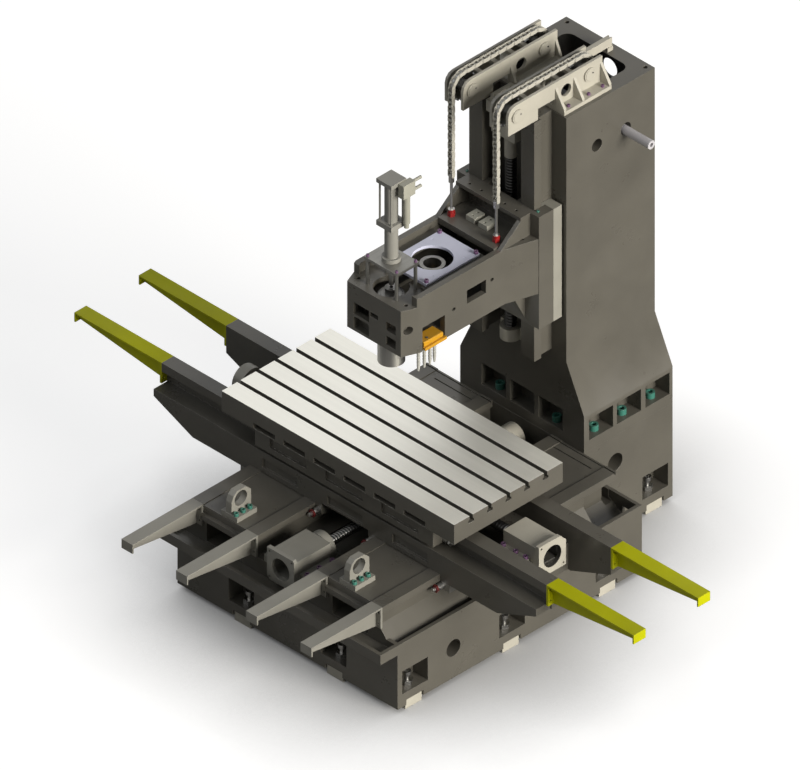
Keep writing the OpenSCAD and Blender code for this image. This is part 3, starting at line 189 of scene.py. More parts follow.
def make(name, shape, finish, body, smooth_angle=35):
    """Turns a shape into a piece; it rides on the body, or stays unattached if body is None."""
    mesh = outward_mesh(name, shape)
    smooth_below(mesh, smooth_angle)
    piece = put_in_scene(name, mesh)
    mesh.materials.append(finish)
    if body:
        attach(piece, body)
    return piece


# ---------------------------------------------------------------- finishes


def place(tree, kind, **inputs):
    """Adds a node and sets its named inputs."""
    made = tree.nodes.new(kind)
    for name, value in inputs.items():
        made.inputs[name.replace("_", " ")].default_value = value
    return made


def wire(tree, source, target):
    tree.links.new(source, target)


def set_or_wire(tree, value, target):
    """Sets a number or a colour on a socket, or wires another socket to it."""
    if isinstance(value, (int, float, tuple)):
        target.default_value = value
    else:
        wire(tree, value, target)


def math_node(tree, operation, a, b, clamp=False):
    made = tree.nodes.new("ShaderNodeMath")
    made.operation = operation
    made.use_clamp = clamp
    set_or_wire(tree, a, made.inputs[0])
    set_or_wire(tree, b, made.inputs[1])
    return made.outputs[0]


def vector_node(tree, operation, a, b, result="Vector"):
    made = tree.nodes.new("ShaderNodeVectorMath")
    made.operation = operation
    wire(tree, a, made.inputs[0])
    wire(tree, b, made.inputs[1])
    return made.outputs[result]


def where_on(tree):
    """The place on the piece, in its own coordinates."""
    return tree.nodes.new("ShaderNodeTexCoord").outputs["Object"]


def axes_of(tree, vector):
    """The X, Y and Z sockets of a vector."""
    split = tree.nodes.new("ShaderNodeSeparateXYZ")
    wire(tree, vector, split.inputs[0])
    return split.outputs


def facing(tree):
    """The X, Y and Z of the direction a face looks in."""
    return axes_of(tree, tree.nodes.new("ShaderNodeNewGeometry").outputs["Normal"])


def spread(tree, value, low, high, to_low=0.0, to_high=1.0):
    """Maps a value from one range to another and holds it there."""
    made = tree.nodes.new("ShaderNodeMapRange")
    made.clamp = True
    wire(tree, value, made.inputs["Value"])
    ends = {"From Min": low, "From Max": high, "To Min": to_low, "To Max": to_high}
    for name, number in ends.items():
        made.inputs[name].default_value = number
    return made.outputs["Result"]


def blend_colour(tree, factor, a, b):
    made = tree.nodes.new("ShaderNodeMix")
    made.data_type = "RGBA"
    wire(tree, factor, made.inputs["Factor"])
    set_or_wire(tree, a, made.inputs[6])
    set_or_wire(tree, b, made.inputs[7])
    return made.outputs[2]


def new_group(name, inputs, outputs):
    """An empty node group with named sockets."""
    tree = bpy.data.node_groups.new(name, "ShaderNodeTree")
    for label, kind, value in inputs:
        socket = tree.interface.new_socket(label, in_out="INPUT", socket_type=kind)
        socket.default_value = value
    for label, kind in outputs:
        tree.interface.new_socket(label, in_out="OUTPUT", socket_type=kind)
    return tree, tree.nodes.new("NodeGroupInput"), tree.nodes.new("NodeGroupOutput")


FLOAT, COLOUR, VECTOR = "NodeSocketFloat", "NodeSocketColor", "NodeSocketVector"


def noise(tree, vector, scale, detail=3.0, rough=0.5):
    made = place(tree, "ShaderNodeTexNoise", Detail=detail, Roughness=rough)
    set_or_wire(tree, scale, made.inputs["Scale"])
    wire(tree, vector, made.inputs["Vector"])
    return made.outputs["Fac"]


def build_worn_edges():
    """Rounded edges, and a mask of the paint rubbed off along them."""
    tree, given, out = new_group("worn_edges", [("Radius", FLOAT, 0.002), ("Wear", FLOAT, 0.5)],
                                 [("Normal", VECTOR), ("Mask", FLOAT)])
    bevel = tree.nodes.new("ShaderNodeBevel")
    bevel.samples = 4
    wire(tree, given.outputs["Radius"], bevel.inputs["Radius"])
    flat = tree.nodes.new("ShaderNodeNewGeometry").outputs["Normal"]
    likeness = vector_node(tree, "DOT_PRODUCT", bevel.outputs["Normal"], flat, "Value")
    edge = spread(tree, likeness, 0.995, 0.80)
    patches = spread(tree, noise(tree, where_on(tree), 38.0, 5.0, 0.65), 0.42, 0.62)
    rubbed = math_node(tree, "MULTIPLY", edge, patches)
    mask = math_node(tree, "MULTIPLY", rubbed, given.outputs["Wear"], clamp=True)
    wire(tree, mask, out.inputs["Mask"])
    wire(tree, bevel.outputs["Normal"], out.inputs["Normal"])
    return tree


def build_cast_skin():
    """The lumpy skin of a sand casting under paint: relief, and slow changes of tone."""
    tree, given, out = new_group("cast_skin", [("Grain", FLOAT, 260.0)],
                                 [("Height", FLOAT), ("Tone", FLOAT)])
    where = where_on(tree)
    fine = noise(tree, where, given.outputs["Grain"], 4.0, 0.6)
    lumps = math_node(tree, "MULTIPLY", noise(tree, where, 22.0, 3.0), 1.6)
    wire(tree, math_node(tree, "ADD", fine, lumps), out.inputs["Height"])
    wire(tree, spread(tree, noise(tree, where, 3.1, 5.0, 0.55), 0.3, 0.7), out.inputs["Tone"])
    return tree


def build_settled_dust():
    """A mask of fine dust that lies on faces turned upward."""
    tree, given, out = new_group("settled_dust", [("Amount", FLOAT, 0.3)], [("Mask", FLOAT)])
    up = spread(tree, facing(tree)["Z"], 0.55, 0.95)
    cover = spread(tree, noise(tree, where_on(tree), 7.0, 6.0, 0.6), 0.25, 0.75, 0.45, 1.0)
    lying = math_node(tree, "MULTIPLY", up, cover)
    mask = math_node(tree, "MULTIPLY", lying, given.outputs["Amount"], clamp=True)
    wire(tree, mask, out.inputs["Mask"])
    return tree


def build_ground_lines():
    """Fine lines left by a grinding wheel; Stretch sets how many cross one metre each way."""
    tree, given, out = new_group("ground_lines", [("Stretch", VECTOR, (4.0, 900.0, 900.0))],
                                 [("Height", FLOAT), ("Lines", FLOAT)])
    stretched = vector_node(tree, "MULTIPLY", where_on(tree), given.outputs["Stretch"])
    lines = noise(tree, stretched, 1.0, 2.0)
    broad = tree.nodes.new("ShaderNodeVectorMath")
    broad.operation = "SCALE"
    broad.inputs["Scale"].default_value = 0.08
    wire(tree, stretched, broad.inputs[0])
    bands = noise(tree, broad.outputs["Vector"], 1.0, 3.0)
    wire(tree, lines, out.inputs["Height"])
    some_lines = math_node(tree, "MULTIPLY", lines, 0.4)
    some_bands = math_node(tree, "MULTIPLY", bands, 0.6)
    wire(tree, math_node(tree, "ADD", some_lines, some_bands), out.inputs["Lines"])
    return tree


def build_oil_film():
    """A mask of the thin patches of oil that a hand leaves on bare metal and on paint."""
    tree, given, out = new_group("oil_film", [("Size", FLOAT, 5.0)], [("Mask", FLOAT)])
    patches = noise(tree, where_on(tree), given.outputs["Size"], 6.0, 0.62)
    wire(tree, spread(tree, patches, 0.38, 0.68), out.inputs["Mask"])
    return tree


def build_inside_box():
    """A mask of the faces between two corners, where dark painted shade goes on the inside of a casting."""
    corners = [("Low", VECTOR, (0.0, 0.0, 0.0)), ("High", VECTOR, (1.0, 1.0, 1.0))]
    tree, given, out = new_group("inside_box", corners, [("Mask", FLOAT)])
    where = where_on(tree)
    past_low = vector_node(tree, "SUBTRACT", where, given.outputs["Low"])
    below_high = vector_node(tree, "SUBTRACT", given.outputs["High"], where)
    depth = axes_of(tree, vector_node(tree, "MINIMUM", past_low, below_high))
    least = math_node(tree, "MINIMUM", depth["X"], depth["Y"])
    least = math_node(tree, "MINIMUM", least, depth["Z"])
    wire(tree, spread(tree, least, 0.0, BAND_EDGE), out.inputs["Mask"])
    return tree


GROUPS = {
    "inside_box": build_inside_box(),
    "worn_edges": build_worn_edges(),
    "cast_skin": build_cast_skin(),
    "settled_dust": build_settled_dust(),
    "ground_lines": build_ground_lines(),
    "oil_film": build_oil_film(),
}


def use_group(tree, name, **values):
    made = tree.nodes.new("ShaderNodeGroup")
    made.node_tree = GROUPS[name]
    for label, value in values.items():
        made.inputs[label].default_value = value
    return made


def start_material(name):
    material = bpy.data.materials.new(name)
    material.use_nodes = True
    tree = material.node_tree
    shader = tree.nodes["Principled BSDF"]
    return material, tree, shader


def rgba(colour):
    return (colour[0], colour[1], colour[2], 1.0)


def scaled(colour, k):
    return tuple(min(1.0, c * k) for c in colour)


def add_bump(tree, shader, height, normal, strength, distance):
    bump = place(tree, "ShaderNodeBump", Strength=strength, Distance=distance)
    wire(tree, height, bump.inputs["Height"])
    if normal is not None:
        wire(tree, normal, bump.inputs["Normal"])
    wire(tree, bump.outputs["Normal"], shader.inputs["Normal"])


def add_bands(tree, base, bands):
    """Changes the colour between two places along an axis.

    Gives the new colour and the mask of all bands.
    """
    where = axes_of(tree, where_on(tree))
    mask = None
    for axis, (low, high), colour in bands:
        above = spread(tree, where[axis], low, low + BAND_EDGE)
        below = spread(tree, where[axis], high - BAND_EDGE, high, 1.0, 0.0)
        inside = math_node(tree, "MULTIPLY", above, below)
        base = blend_colour(tree, inside, base, rgba(colour))
        mask = inside if mask is None else math_node(tree, "MAXIMUM", mask, inside)
    return base, mask


OLD_DUST = (0.46, 0.45, 0.42)
IRON_UNDER_PAINT = (0.36, 0.355, 0.33)


def dark_and_light(colour, change=0.12):
    """The colour a little darker and a little lighter."""
    return rgba(scaled(colour, 1 - change)), rgba(scaled(colour, 1 + change))


def painted(name, colour, rough, grain, relief, wear, dust, gloss=0.5, bands=(), painted_shade_box=None):
    """Paint over a casting or a plate: grain, tone, worn edges, a little dust and oily patches, and dark
    painted shade inside a given box.
    """
    material, tree, shader = start_material(name)
    shader.inputs["Specular IOR Level"].default_value = gloss
    skin = use_group(tree, "cast_skin", Grain=grain)
    edges = use_group(tree, "worn_edges", Radius=0.0022, Wear=wear)
    settled = use_group(tree, "settled_dust", Amount=dust)
    oil = use_group(tree, "oil_film", Size=4.0)
    coat = blend_colour(tree, skin.outputs["Tone"], *dark_and_light(colour))
    if bands:
        coat, _ = add_bands(tree, coat, bands)
    # Painted shade: the faces inside the given box take a dark colour where light doesn't reach.
    if painted_shade_box:
        low, high, shade_colour = painted_shade_box
        inside = use_group(tree, "inside_box", Low=at(*low), High=at(*high))
        coat = blend_colour(tree, inside.outputs["Mask"], coat, rgba(shade_colour))
    dusty = blend_colour(tree, settled.outputs["Mask"], coat, rgba(OLD_DUST))
    worn = blend_colour(tree, edges.outputs["Mask"], dusty, rgba(IRON_UNDER_PAINT))
    wire(tree, worn, shader.inputs["Base Color"])
    sheen = spread(tree, oil.outputs["Mask"], 0.0, 1.0, rough + 0.06, rough - 0.08)
    wire(tree, sheen, shader.inputs["Roughness"])
    metal = math_node(tree, "MULTIPLY", edges.outputs["Mask"], 0.7)
    wire(tree, metal, shader.inputs["Metallic"])
    add_bump(tree, shader, skin.outputs["Height"], edges.outputs["Normal"], 0.35, relief)
    return material


def bare_metal(name, colour, rough=0.32, stretch=(4.0, 900.0, 900.0), bands=()):
    """Ground or turned steel: fine lines one way, faint oil, rounded edges."""
    material, tree, shader = start_material(name)
    lines = use_group(tree, "ground_lines", Stretch=stretch)
    edges = use_group(tree, "worn_edges", Radius=0.0012, Wear=0.5)
    oil = use_group(tree, "oil_film", Size=9.0)
    tone = spread(tree, lines.outputs["Lines"], 0.3, 0.7)
    steel = blend_colour(tree, tone, rgba(scaled(colour, 0.82)), rgba(scaled(colour, 1.108)))
    bright = blend_colour(tree, edges.outputs["Mask"], steel, rgba(scaled(colour, 1.25)))
    shader.inputs["Metallic"].default_value = 1.0
    if bands:
        bright, coloured = add_bands(tree, bright, bands)
        wire(tree, math_node(tree, "SUBTRACT", 1.0, coloured), shader.inputs["Metallic"])
    wire(tree, bright, shader.inputs["Base Color"])
    sheen = spread(tree, oil.outputs["Mask"], 0.0, 1.0, rough + 0.05, rough - 0.07)
    wire(tree, sheen, shader.inputs["Roughness"])
    add_bump(tree, shader, lines.outputs["Height"], edges.outputs["Normal"], 0.25, 0.00006)
    return material


def table_metal(name, bright, dark):
    """Ground table: bright along the top, dark painted iron on the sides and in the slots."""
    material, tree, shader = start_material(name)
    lines = use_group(tree, "ground_lines", Stretch=(2.5, 420.0, 420.0))
    skin = use_group(tree, "cast_skin", Grain=260.0)
    edges = use_group(tree, "worn_edges", Radius=0.0016, Wear=0.8)
    oil = use_group(tree, "oil_film", Size=3.0)
    height_up = axes_of(tree, where_on(tree))["Z"]
    high = spread(tree, height_up, (TABLE_TOP - 3) * MM, (TABLE_TOP - 1) * MM)
    top = math_node(tree, "MULTIPLY", high, spread(tree, facing(tree)["Z"], 0.6, 0.9))
    tone = spread(tree, lines.outputs["Lines"], 0.32, 0.68)
    ground = blend_colour(tree, tone, rgba(scaled(bright, 0.96)), rgba(scaled(bright, 1.03)))
    side = blend_colour(tree, skin.outputs["Tone"], *dark_and_light(dark))
    both = blend_colour(tree, top, side, ground)
    worn = blend_colour(tree, edges.outputs["Mask"], both, rgba(scaled(bright, 0.8)))
    wire(tree, worn, shader.inputs["Base Color"])
    top_metal = math_node(tree, "MULTIPLY", top, 0.65)
    metal = math_node(tree, "MAXIMUM", top_metal, edges.outputs["Mask"])
    wire(tree, metal, shader.inputs["Metallic"])
    wire(tree, spread(tree, oil.outputs["Mask"], 0.0, 1.0, 0.46, 0.38), shader.inputs["Roughness"])
    less_on_top = spread(tree, top, 0.0, 1.0, 1.0, 0.05)
    lumps = math_node(tree, "MULTIPLY", skin.outputs["Height"], less_on_top)
    add_bump(tree, shader, lumps, edges.outputs["Normal"], 0.3, 0.0005)
    return material


def rubber(name, colour):
    """Black belt rubber with a powdery bloom."""
    material, tree, shader = start_material(name)
    skin = use_group(tree, "cast_skin", Grain=900.0)
    tone = blend_colour(tree, skin.outputs["Tone"], rgba(colour), rgba(scaled(colour, 1.8)))
    wire(tree, tone, shader.inputs["Base Color"])
    wire(tree, spread(tree, skin.outputs["Tone"], 0.0, 1.0, 0.62, 0.78), shader.inputs["Roughness"])
    add_bump(tree, shader, skin.outputs["Height"], None, 0.3, 0.0002)
    return material


TEAL, VIOLET = (0.04, 0.17, 0.13), (0.14, 0.07, 0.15)
RED, DARK_RED = (0.28, 0.012, 0.012), (0.13, 0.012, 0.012)
CAST_PAINT = (0.094, 0.088, 0.073)


CREAM = (0.41, 0.39, 0.33)
GIB_STEEL = (0.50, 0.49, 0.47)


def coating(rough, grain, relief, wear, dust):
    return {"rough": rough, "grain": grain, "relief": relief, "wear": wear, "dust": dust}


CASTING_COAT = coating(0.33, 240.0, 0.0003, 0.22, 0.03)
CREAM_COAT = coating(0.40, 420.0, 0.0003, 0.4, 0.04)
FITTING_COAT = coating(0.36, 600.0, 0.0002, 0.4, 0.04)
HARDWARE_COAT = coating(0.34, 900.0, 0.0001, 0.5, 0.03)

# Painted shade in unlit insides: low corner and high corner in millimetres, and the dark colour painted
# there.
# The chain shaft in the column, painted dark as shade.
CHAIN_SHAFT_SHADE = ((-200.5, 1606.5, 500), (200.5, 2007.5, COLUMN_TOP - 1), (0.012, 0.0115, 0.01))
# The bore of the X motor bracket, painted dark as shade.
X_BRACKET_SHADE = ((858, 618, 600), (1033, 734, 772), (0.05, 0.048, 0.042))
TURNED = (500.0, 500.0, 9.0)  # lines that run round an upright axis

finishes = {
    "casting": painted("charcoal_casting_paint", CAST_PAINT, **CASTING_COAT),
    "cream": painted("cream_paint", CREAM, **CREAM_COAT),
    "arm_gray": painted("warm_gray_paint", (0.225, 0.218, 0.19), **coating(0.38, 420.0, 0.0003, 0.5, 0.06)),
    "arm_yellow": painted("olive_yellow_paint", (0.47, 0.48, 0.002), gloss=0.15,
                          **coating(0.36, 520.0, 0.0002, 0.25, 0.0)),
    "steel": bare_metal("ground_steel", (0.36, 0.355, 0.34)),
    "table_iron": table_metal("table_iron", (0.90, 0.89, 0.82), CAST_PAINT),
    "screw_green": painted("teal_and_violet_screws", TEAL, bands=[("Z", LIFTING_SCREW_Z, VIOLET)],
                           **HARDWARE_COAT),
    "screw_purple": painted("violet_gray_screws", VIOLET, **HARDWARE_COAT),
    "red_parts": bare_metal("adjuster_steel", GIB_STEEL, bands=[("Z", ANCHOR_NUT_Z, RED)]),
    "keeper": bare_metal("keeper_steel", (0.26, 0.255, 0.235), rough=0.42, stretch=(900.0, 5.0, 900.0)),
    "plate_blue": painted("pale_blue_plate", (0.62, 0.64, 0.79), **coating(0.34, 700.0, 0.0001, 0.4, 0.03)),
    "belt": rubber("belt_rubber", (0.03, 0.03, 0.03)),
    "cylinder_gray": painted("cylinder_gray", (0.24, 0.235, 0.21), **FITTING_COAT),
    "valve": painted("valve_gray", (0.33, 0.325, 0.27), **coating(0.40, 600.0, 0.0002, 0.4, 0.04)),
    "orange": painted("amber_block", (0.56, 0.28, 0.008), **HARDWARE_COAT),
    "nozzle": painted("nozzle_plastic", (0.42, 0.415, 0.38), **HARDWARE_COAT),
    "chain": painted("chain_plating", (0.43, 0.415, 0.36), **coating(0.40, 900.0, 0.00005, 0.1, 0.0)),
}
screw_steel = bare_metal("screw_steel", (0.20, 0.198, 0.19), rough=0.30)
# A much darker copy of the screw steel for the Z screw: painted shade, standing for the shadow the screw lies
# in.
shade_darkened_steel = bare_metal("shade_darkened_steel", (0.045, 0.044, 0.042), rough=0.34)
own_finishes = {
    # The column's paint carries painted shade inside the chain shaft.
    "column_casting": painted("column_paint_and_painted_shade", CAST_PAINT, painted_shade_box=CHAIN_SHAFT_SHADE, **CASTING_COAT),
    # The X bracket's paint carries painted shade inside its bore.
    "x_motor_bracket": painted("x_bracket_paint_and_painted_shade", CREAM, painted_shade_box=X_BRACKET_SHADE, **CREAM_COAT),
    "top_beam": finishes["cream"],
    "gib_adjusters": bare_metal("gib_screw_steel", GIB_STEEL, bands=[("Y", GIB_NUT_Y, DARK_RED)]),
    "spindle_cartridge": bare_metal("spindle_nose_steel", (0.30, 0.295, 0.28), rough=0.36, stretch=TURNED),
    "spindle_shaft": screw_steel,
    "motor_pulley": bare_metal("pulley_steel", (0.24, 0.235, 0.22), rough=0.36, stretch=TURNED),
    "sprocket_front_left": screw_steel,
    "sprocket_front_right": screw_steel,
    "sprocket_rear_left": screw_steel,
    "sprocket_rear_right": screw_steel,
    "head_keepers": painted("slide_strip_paint", (0.27, 0.262, 0.225),
                            **coating(0.38, 420.0, 0.0002, 0.4, 0.04)),
    "oil_manifolds": painted("manifold_gray", (0.40, 0.395, 0.34), **coating(0.36, 700.0, 0.0001, 0.4, 0.04)),
    "lifting_bar": painted("bright_bar_plating", (0.52, 0.51, 0.54),
                           **coating(0.22, 900.0, 0.00005, 0.3, 0.02)),
}
slots = {part["node"]: part["material_slot"] for part in frame["record"]["subparts"]}
for name, slot in slots.items():
    finish = own_finishes.get(name, finishes[slot])
    node = frame["nodes"][name]
    if node.material_slots:
        node.material_slots[0].material = finish
    else:
        node.data.materials.append(finish)


# ---------------------------------------------------------------- cast openings


def box_cutter(low, high, corner):
    """A block along Y with rounded corners, for cutting a window."""
    left, right = low[0] + corner, high[0] - corner
    bottom, top = low[2] + corner, high[2] - corner
    outline = []
    for x, z, first in ((right, top, 0), (left, top, 90), (left, bottom, 180), (right, bottom, 270)):
        for k in range(4):
            a = math.radians(first + 30 * k)
            outline.append((x + corner * math.cos(a), z + corner * math.sin(a)))
    cutter = Shape()
    cutter.skin([[at(x, y, z) for x, z in outline] for y in (low[1], high[1])])
    return cutter


def apply_modifiers(piece):
    """Keeps what the modifiers make of a piece as its own mesh."""
    shown = piece.evaluated_get(bpy.context.evaluated_depsgraph_get())
    mesh = bpy.data.meshes.new_from_object(shown)
    piece.modifiers.clear()
    piece.data = mesh


def open_up(node, name, body, cutters):
    """Stands for a casting whose windows go deeper than in the solid; the rest keeps its form."""
    mesh = frame["nodes"][node].data.copy()
    if "custom_normal" in mesh.attributes:
        mesh.attributes.remove(mesh.attributes["custom_normal"])
    welded = bmesh.new()
    welded.from_mesh(mesh)
    bmesh.ops.remove_doubles(welded, verts=welded.verts, dist=1e-6)
    welded.to_mesh(mesh)
    welded.free()
    piece = put_in_scene(name, mesh)
    all_cutters = Shape()
    for cutter in cutters:
        all_cutters.add(cutter)
    tool = put_in_scene("cutter", outward_mesh("cutter", all_cutters))
    cut = piece.modifiers.new("windows", "BOOLEAN")
    cut.object = tool
    cut.operation = "DIFFERENCE"
    cut.solver = "EXACT"
    cut.use_self = True
    apply_modifiers(piece)
    bpy.data.meshes.remove(tool.data)  # its object goes with it
    smooth_below(piece.data, 30)
    even = piece.modifiers.new("even_normals", "WEIGHTED_NORMAL")
    even.keep_sharp = True
    apply_modifiers(piece)
    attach(piece, body)
    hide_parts(node)


def head_front_windows():
    """Five windows through the front wall of the head."""
    windows = ((-132, -32, 1545, 1610), (-132, -32, 1465, 1532), (78, 140, 1557, 1606),
               (78, 140, 1477, 1528), (-24, 27, 1585, 1610))
    cutters = [box_cutter((x0, 540, z0), (x1, 600, z1), 6) for x0, x1, z0, z1 in windows]
    open_up("head_casting", "head_casting_windows", "head", cutters)


def table_edge_slots():
    """Six slots in each long edge of the table."""
    half_width, pitch, first = 70, 194, -477
    cutters = []
    for k in range(6):
        x = first + pitch * k
        for y0, y1 in ((300, 364), (988, 1050)):
            cutters.append(box_cutter((x - half_width, y0, 815), (x + half_width, y1, 843), 4))
    open_up("table_plate", "table_edge_slots", "table", cutters)


def column_rear_hole():
    """A round hole through a thin web at the top of the column's back, and the recess behind it."""
    radius, x, z = 47.5, 72, COLUMN_TOP - 66
    bore = Shape()
    bore.skin([[at(x + radius * math.cos(a), y, z + radius * math.sin(a)) for a in turns(32)]
               for y in (1990, 2030)])
    cable_box = box_cutter((-75, 2016, COLUMN_TOP - 230), (135, 2100, COLUMN_TOP - 14), 16)
    open_up("column_casting", "column_rear_hole", "base", [bore, cable_box])


head_front_windows()
table_edge_slots()
column_rear_hole()


# ---------------------------------------------------------------- chains


def chain_pins():
    """Pin places in Y and Z: up the front strand, over both sprockets and down the rear strand."""
    half = CHAIN_PITCH / 2
    count = round((AXLE_Z - half - ANCHOR_Z) / CHAIN_PITCH)
    front = [(AXLE_FRONT - PITCH_R, AXLE_Z - half - k * CHAIN_PITCH) for k in range(count, -1, -1)]
    tops = []
    for angle in (170, 150, 130, 110, 90):
        a = math.radians(angle)
        tops.append((AXLE_FRONT + PITCH_R * math.cos(a), AXLE_Z + PITCH_R * math.sin(a)))
    span = AXLE_REAR - AXLE_FRONT
    run = int(span / CHAIN_PITCH)
    tops += [(AXLE_FRONT + k * CHAIN_PITCH, AXLE_Z + PITCH_R) for k in range(1, run + 1)]
    lag = (span - run * CHAIN_PITCH) / PITCH_R
    step = math.radians(20)
    a = math.pi / 2 + lag - step
    while a > 0:
        tops.append((AXLE_REAR + PITCH_R * math.cos(a), AXLE_Z + PITCH_R * math.sin(a)))
        a -= step
    start = tops[-1][1] - CHAIN_PITCH
    links = round((start - WEIGHT_PIN_Z) / CHAIN_PITCH)
    drop = WEIGHT_PIN_Z - start
    rear = [(AXLE_REAR + PITCH_R, start + drop * k / links) for k in range(links + 1)]
    return front, tops, rear


def link_outline(a, b, half_height, waist):
    """Outline of one link plate between two pins, waisted between them."""
    along = Vector((b[0] - a[0], b[1] - a[1]))
    length = along.length
    along.normalize()
    across = Vector((-along.y, along.x))
    points = []
    for centre, first in ((0.0, 90), (length, -90)):
        for k in range(7):
            t = math.radians(first + 30 * k)
            points.append((centre + half_height * math.cos(t), half_height * math.sin(t)))
        side = -waist if first == 90 else waist
        points.append((length / 2, side))
    return [(a[0] + along.x * u + across.x * v, a[1] + along.y * u + across.y * v) for u, v in points]


def chain_piece(name, pins, first_outer, body):
    """Rollers, pins and waisted plates of both chains along a row of pins."""
    shape = Shape()
    for side in (-1, 1):
        x = side * CHAIN_X
        for y, z in pins:
            shape.rod_x(ROLLER_R, x - ROLLER_HALF_LENGTH, x + ROLLER_HALF_LENGTH, y, z, sides=12)
            shape.rod_x(PIN_R, x - PIN_HALF_LENGTH, x + PIN_HALF_LENGTH, y, z, sides=10, chamfer=0.8)
        for i, (a, b) in enumerate(zip(pins, pins[1:])):
            outer = (i % 2 == 0) == first_outer
            near, far = OUTER_PLATE if outer else INNER_PLATE
            outline = link_outline(a, b, PLATE_HALF_HEIGHT, PLATE_WAIST)
            for s in (-1, 1):
                lo, hi = sorted((x + s * near, x + s * far))
                shape.plate_x(outline, lo, hi)
    return make(name, shape, finishes["chain"], body, smooth_angle=40)


front_pins, top_pins, rear_pins = chain_pins()
fronts = chain_piece("chain_links_front", front_pins + top_pins[:1], True, None)
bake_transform(fronts)
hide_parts("chain_front_strands")
tops = chain_piece("chain_links_top", top_pins + rear_pins[:1], len(front_pins) % 2 == 0, "base")
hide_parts("chain_tops")
rears = chain_piece("chain_links_rear", rear_pins, (len(front_pins) + len(top_pins)) % 2 == 0, None)
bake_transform(rears)
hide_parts("chain_rear_strands")


# ---------------------------------------------------------------- ball screws


def screw_thread(node, direction, span, radius, journals, centre, finish=None):
    """A rolled ball screw in place of a plain one: rounded helical groove between two journals.

    The thread starts at the first number of the span and has the second as its length; the
    journals reach the given lengths in front of it and behind it.
    """
    start, length = span
    front, rear = journals
    sides, steps_per_lead, groove_depth = 18, 8, 2.6
    journal_r, chamfer, shoulder = 17.5, 2, 0.2
    loops = []

    def ring(s, radii):
        points = []
        for a, r in zip(turns(sides), radii):
            u, v = centre[0] + r * math.cos(a), centre[1] + r * math.sin(a)
            spots = {"x": (start + s, u, v), "y": (u, start + s, v), "z": (u, v, start + s)}
            points.append(at(*spots[direction]))
        loops.append(points)

    def plain_ring(s, r):
        ring(s, [r] * sides)

    plain_ring(-front, journal_r - chamfer)
    plain_ring(-front + chamfer, journal_r)
    plain_ring(0, journal_r)
    plain_ring(shoulder, radius - chamfer)
    steps = int(length / SCREW_LEAD * steps_per_lead)
    for k in range(steps + 1):
        s = chamfer + (length - 2 * chamfer) * k / steps
        radii = []
        for i in range(sides):
            phase = (s / SCREW_LEAD + i / sides) % 1.0
            groove = max(0.0, math.sin(2 * math.pi * phase))
            radii.append(radius - groove_depth * groove**0.6)
        ring(s, radii)
    plain_ring(length - shoulder, radius - chamfer)
    plain_ring(length, journal_r)
    plain_ring(length + rear - chamfer, journal_r)
    plain_ring(length + rear, journal_r - chamfer)
    shape = Shape()
    shape.skin(loops)
    axis_screw = direction + "_screw"
    piece = make(axis_screw + "_thread", shape, finish or screw_steel, axis_screw, smooth_angle=50)
    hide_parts(node)


screw_thread("x_ballscrew", "x", (-902, 1689), 25, (70, 120), (676, 714))
screw_thread("y_ballscrew", "y", (242, 1150), 25, (230, 84), (0, 480))
# The Z screw takes the darker steel, which is painted shade.
screw_thread("z_ballscrew", "z", (1113, 937), 29, (64, 220), (0, 1440), shade_darkened_steel)


# ---------------------------------------------------------------- small fittings


def bracket_foot_screws():
    """Three socket screws on the outer foot of each chain bracket."""
    shape = Shape()
    for side in (-1, 1):
        for y in (1570, 1700, 1790):
            shape.socket_head((side * (CHAIN_X + 98), y, COLUMN_TOP + 20), 9, 10)
    make("bracket_foot_screws", shape, finishes["screw_purple"], "base")


def slide_top_plugs():
    """Two small teal oil plugs on the top of the head's slide."""
    shape = Shape()
    for side in (-1, 1):
        shape.socket_head((side * 228, 1388, 1879), 7, 6)
    make("slide_top_plugs", shape, finishes["screw_green"], "head")


def axle_end_discs():
    """A turned disc and its small locking screw on each end of the four sprocket axles."""
    discs, grubs = Shape(), Shape()
    for chain in (-CHAIN_X, CHAIN_X):
        for y in (AXLE_FRONT, AXLE_REAR):
            for side in (-1, 1):
                face = chain + side * AXLE_FACE
                outside = face + side * DISC_HEIGHT
                lo, hi = sorted((face - side * 1, outside))
                discs.rod_x(29, lo, hi, y, AXLE_Z, sides=36, chamfer=0.8)
                grubs.socket_head((outside, y + 14, AXLE_Z + 8), 4.5, 1.6, side)
    make("axle_end_discs", discs, finishes["cream"], "base")
    make("axle_grub_screws", grubs, screw_steel, "base")


def coolant_block():
    """Amber block under the head's side opening, with a groove and a ledge on its outer face."""
    block = [(148, 9), (148, 50), (213, 50), (217, 46), (217, 28), (212, 23), (212, 9)]
    ledge = [(212, 23), (225, 23), (227, 21), (227, 9), (212, 9)]
    shape = Shape()
    for profile, end in ((block, 117), (ledge, 132)):
        shape.skin([[at(x, SPINDLE_Y + y, HEAD_Z + z) for x, z in profile] for y in (-6, end)])
    piece = make("coolant_block_body", shape, finishes["orange"], "head", smooth_angle=30)
    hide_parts("coolant_block")
    plug = Shape()
    plug.socket_head((196, SPINDLE_Y + 34, HEAD_Z + 49), 7, 3)
    make("coolant_block_plug", plug, screw_steel, "head")


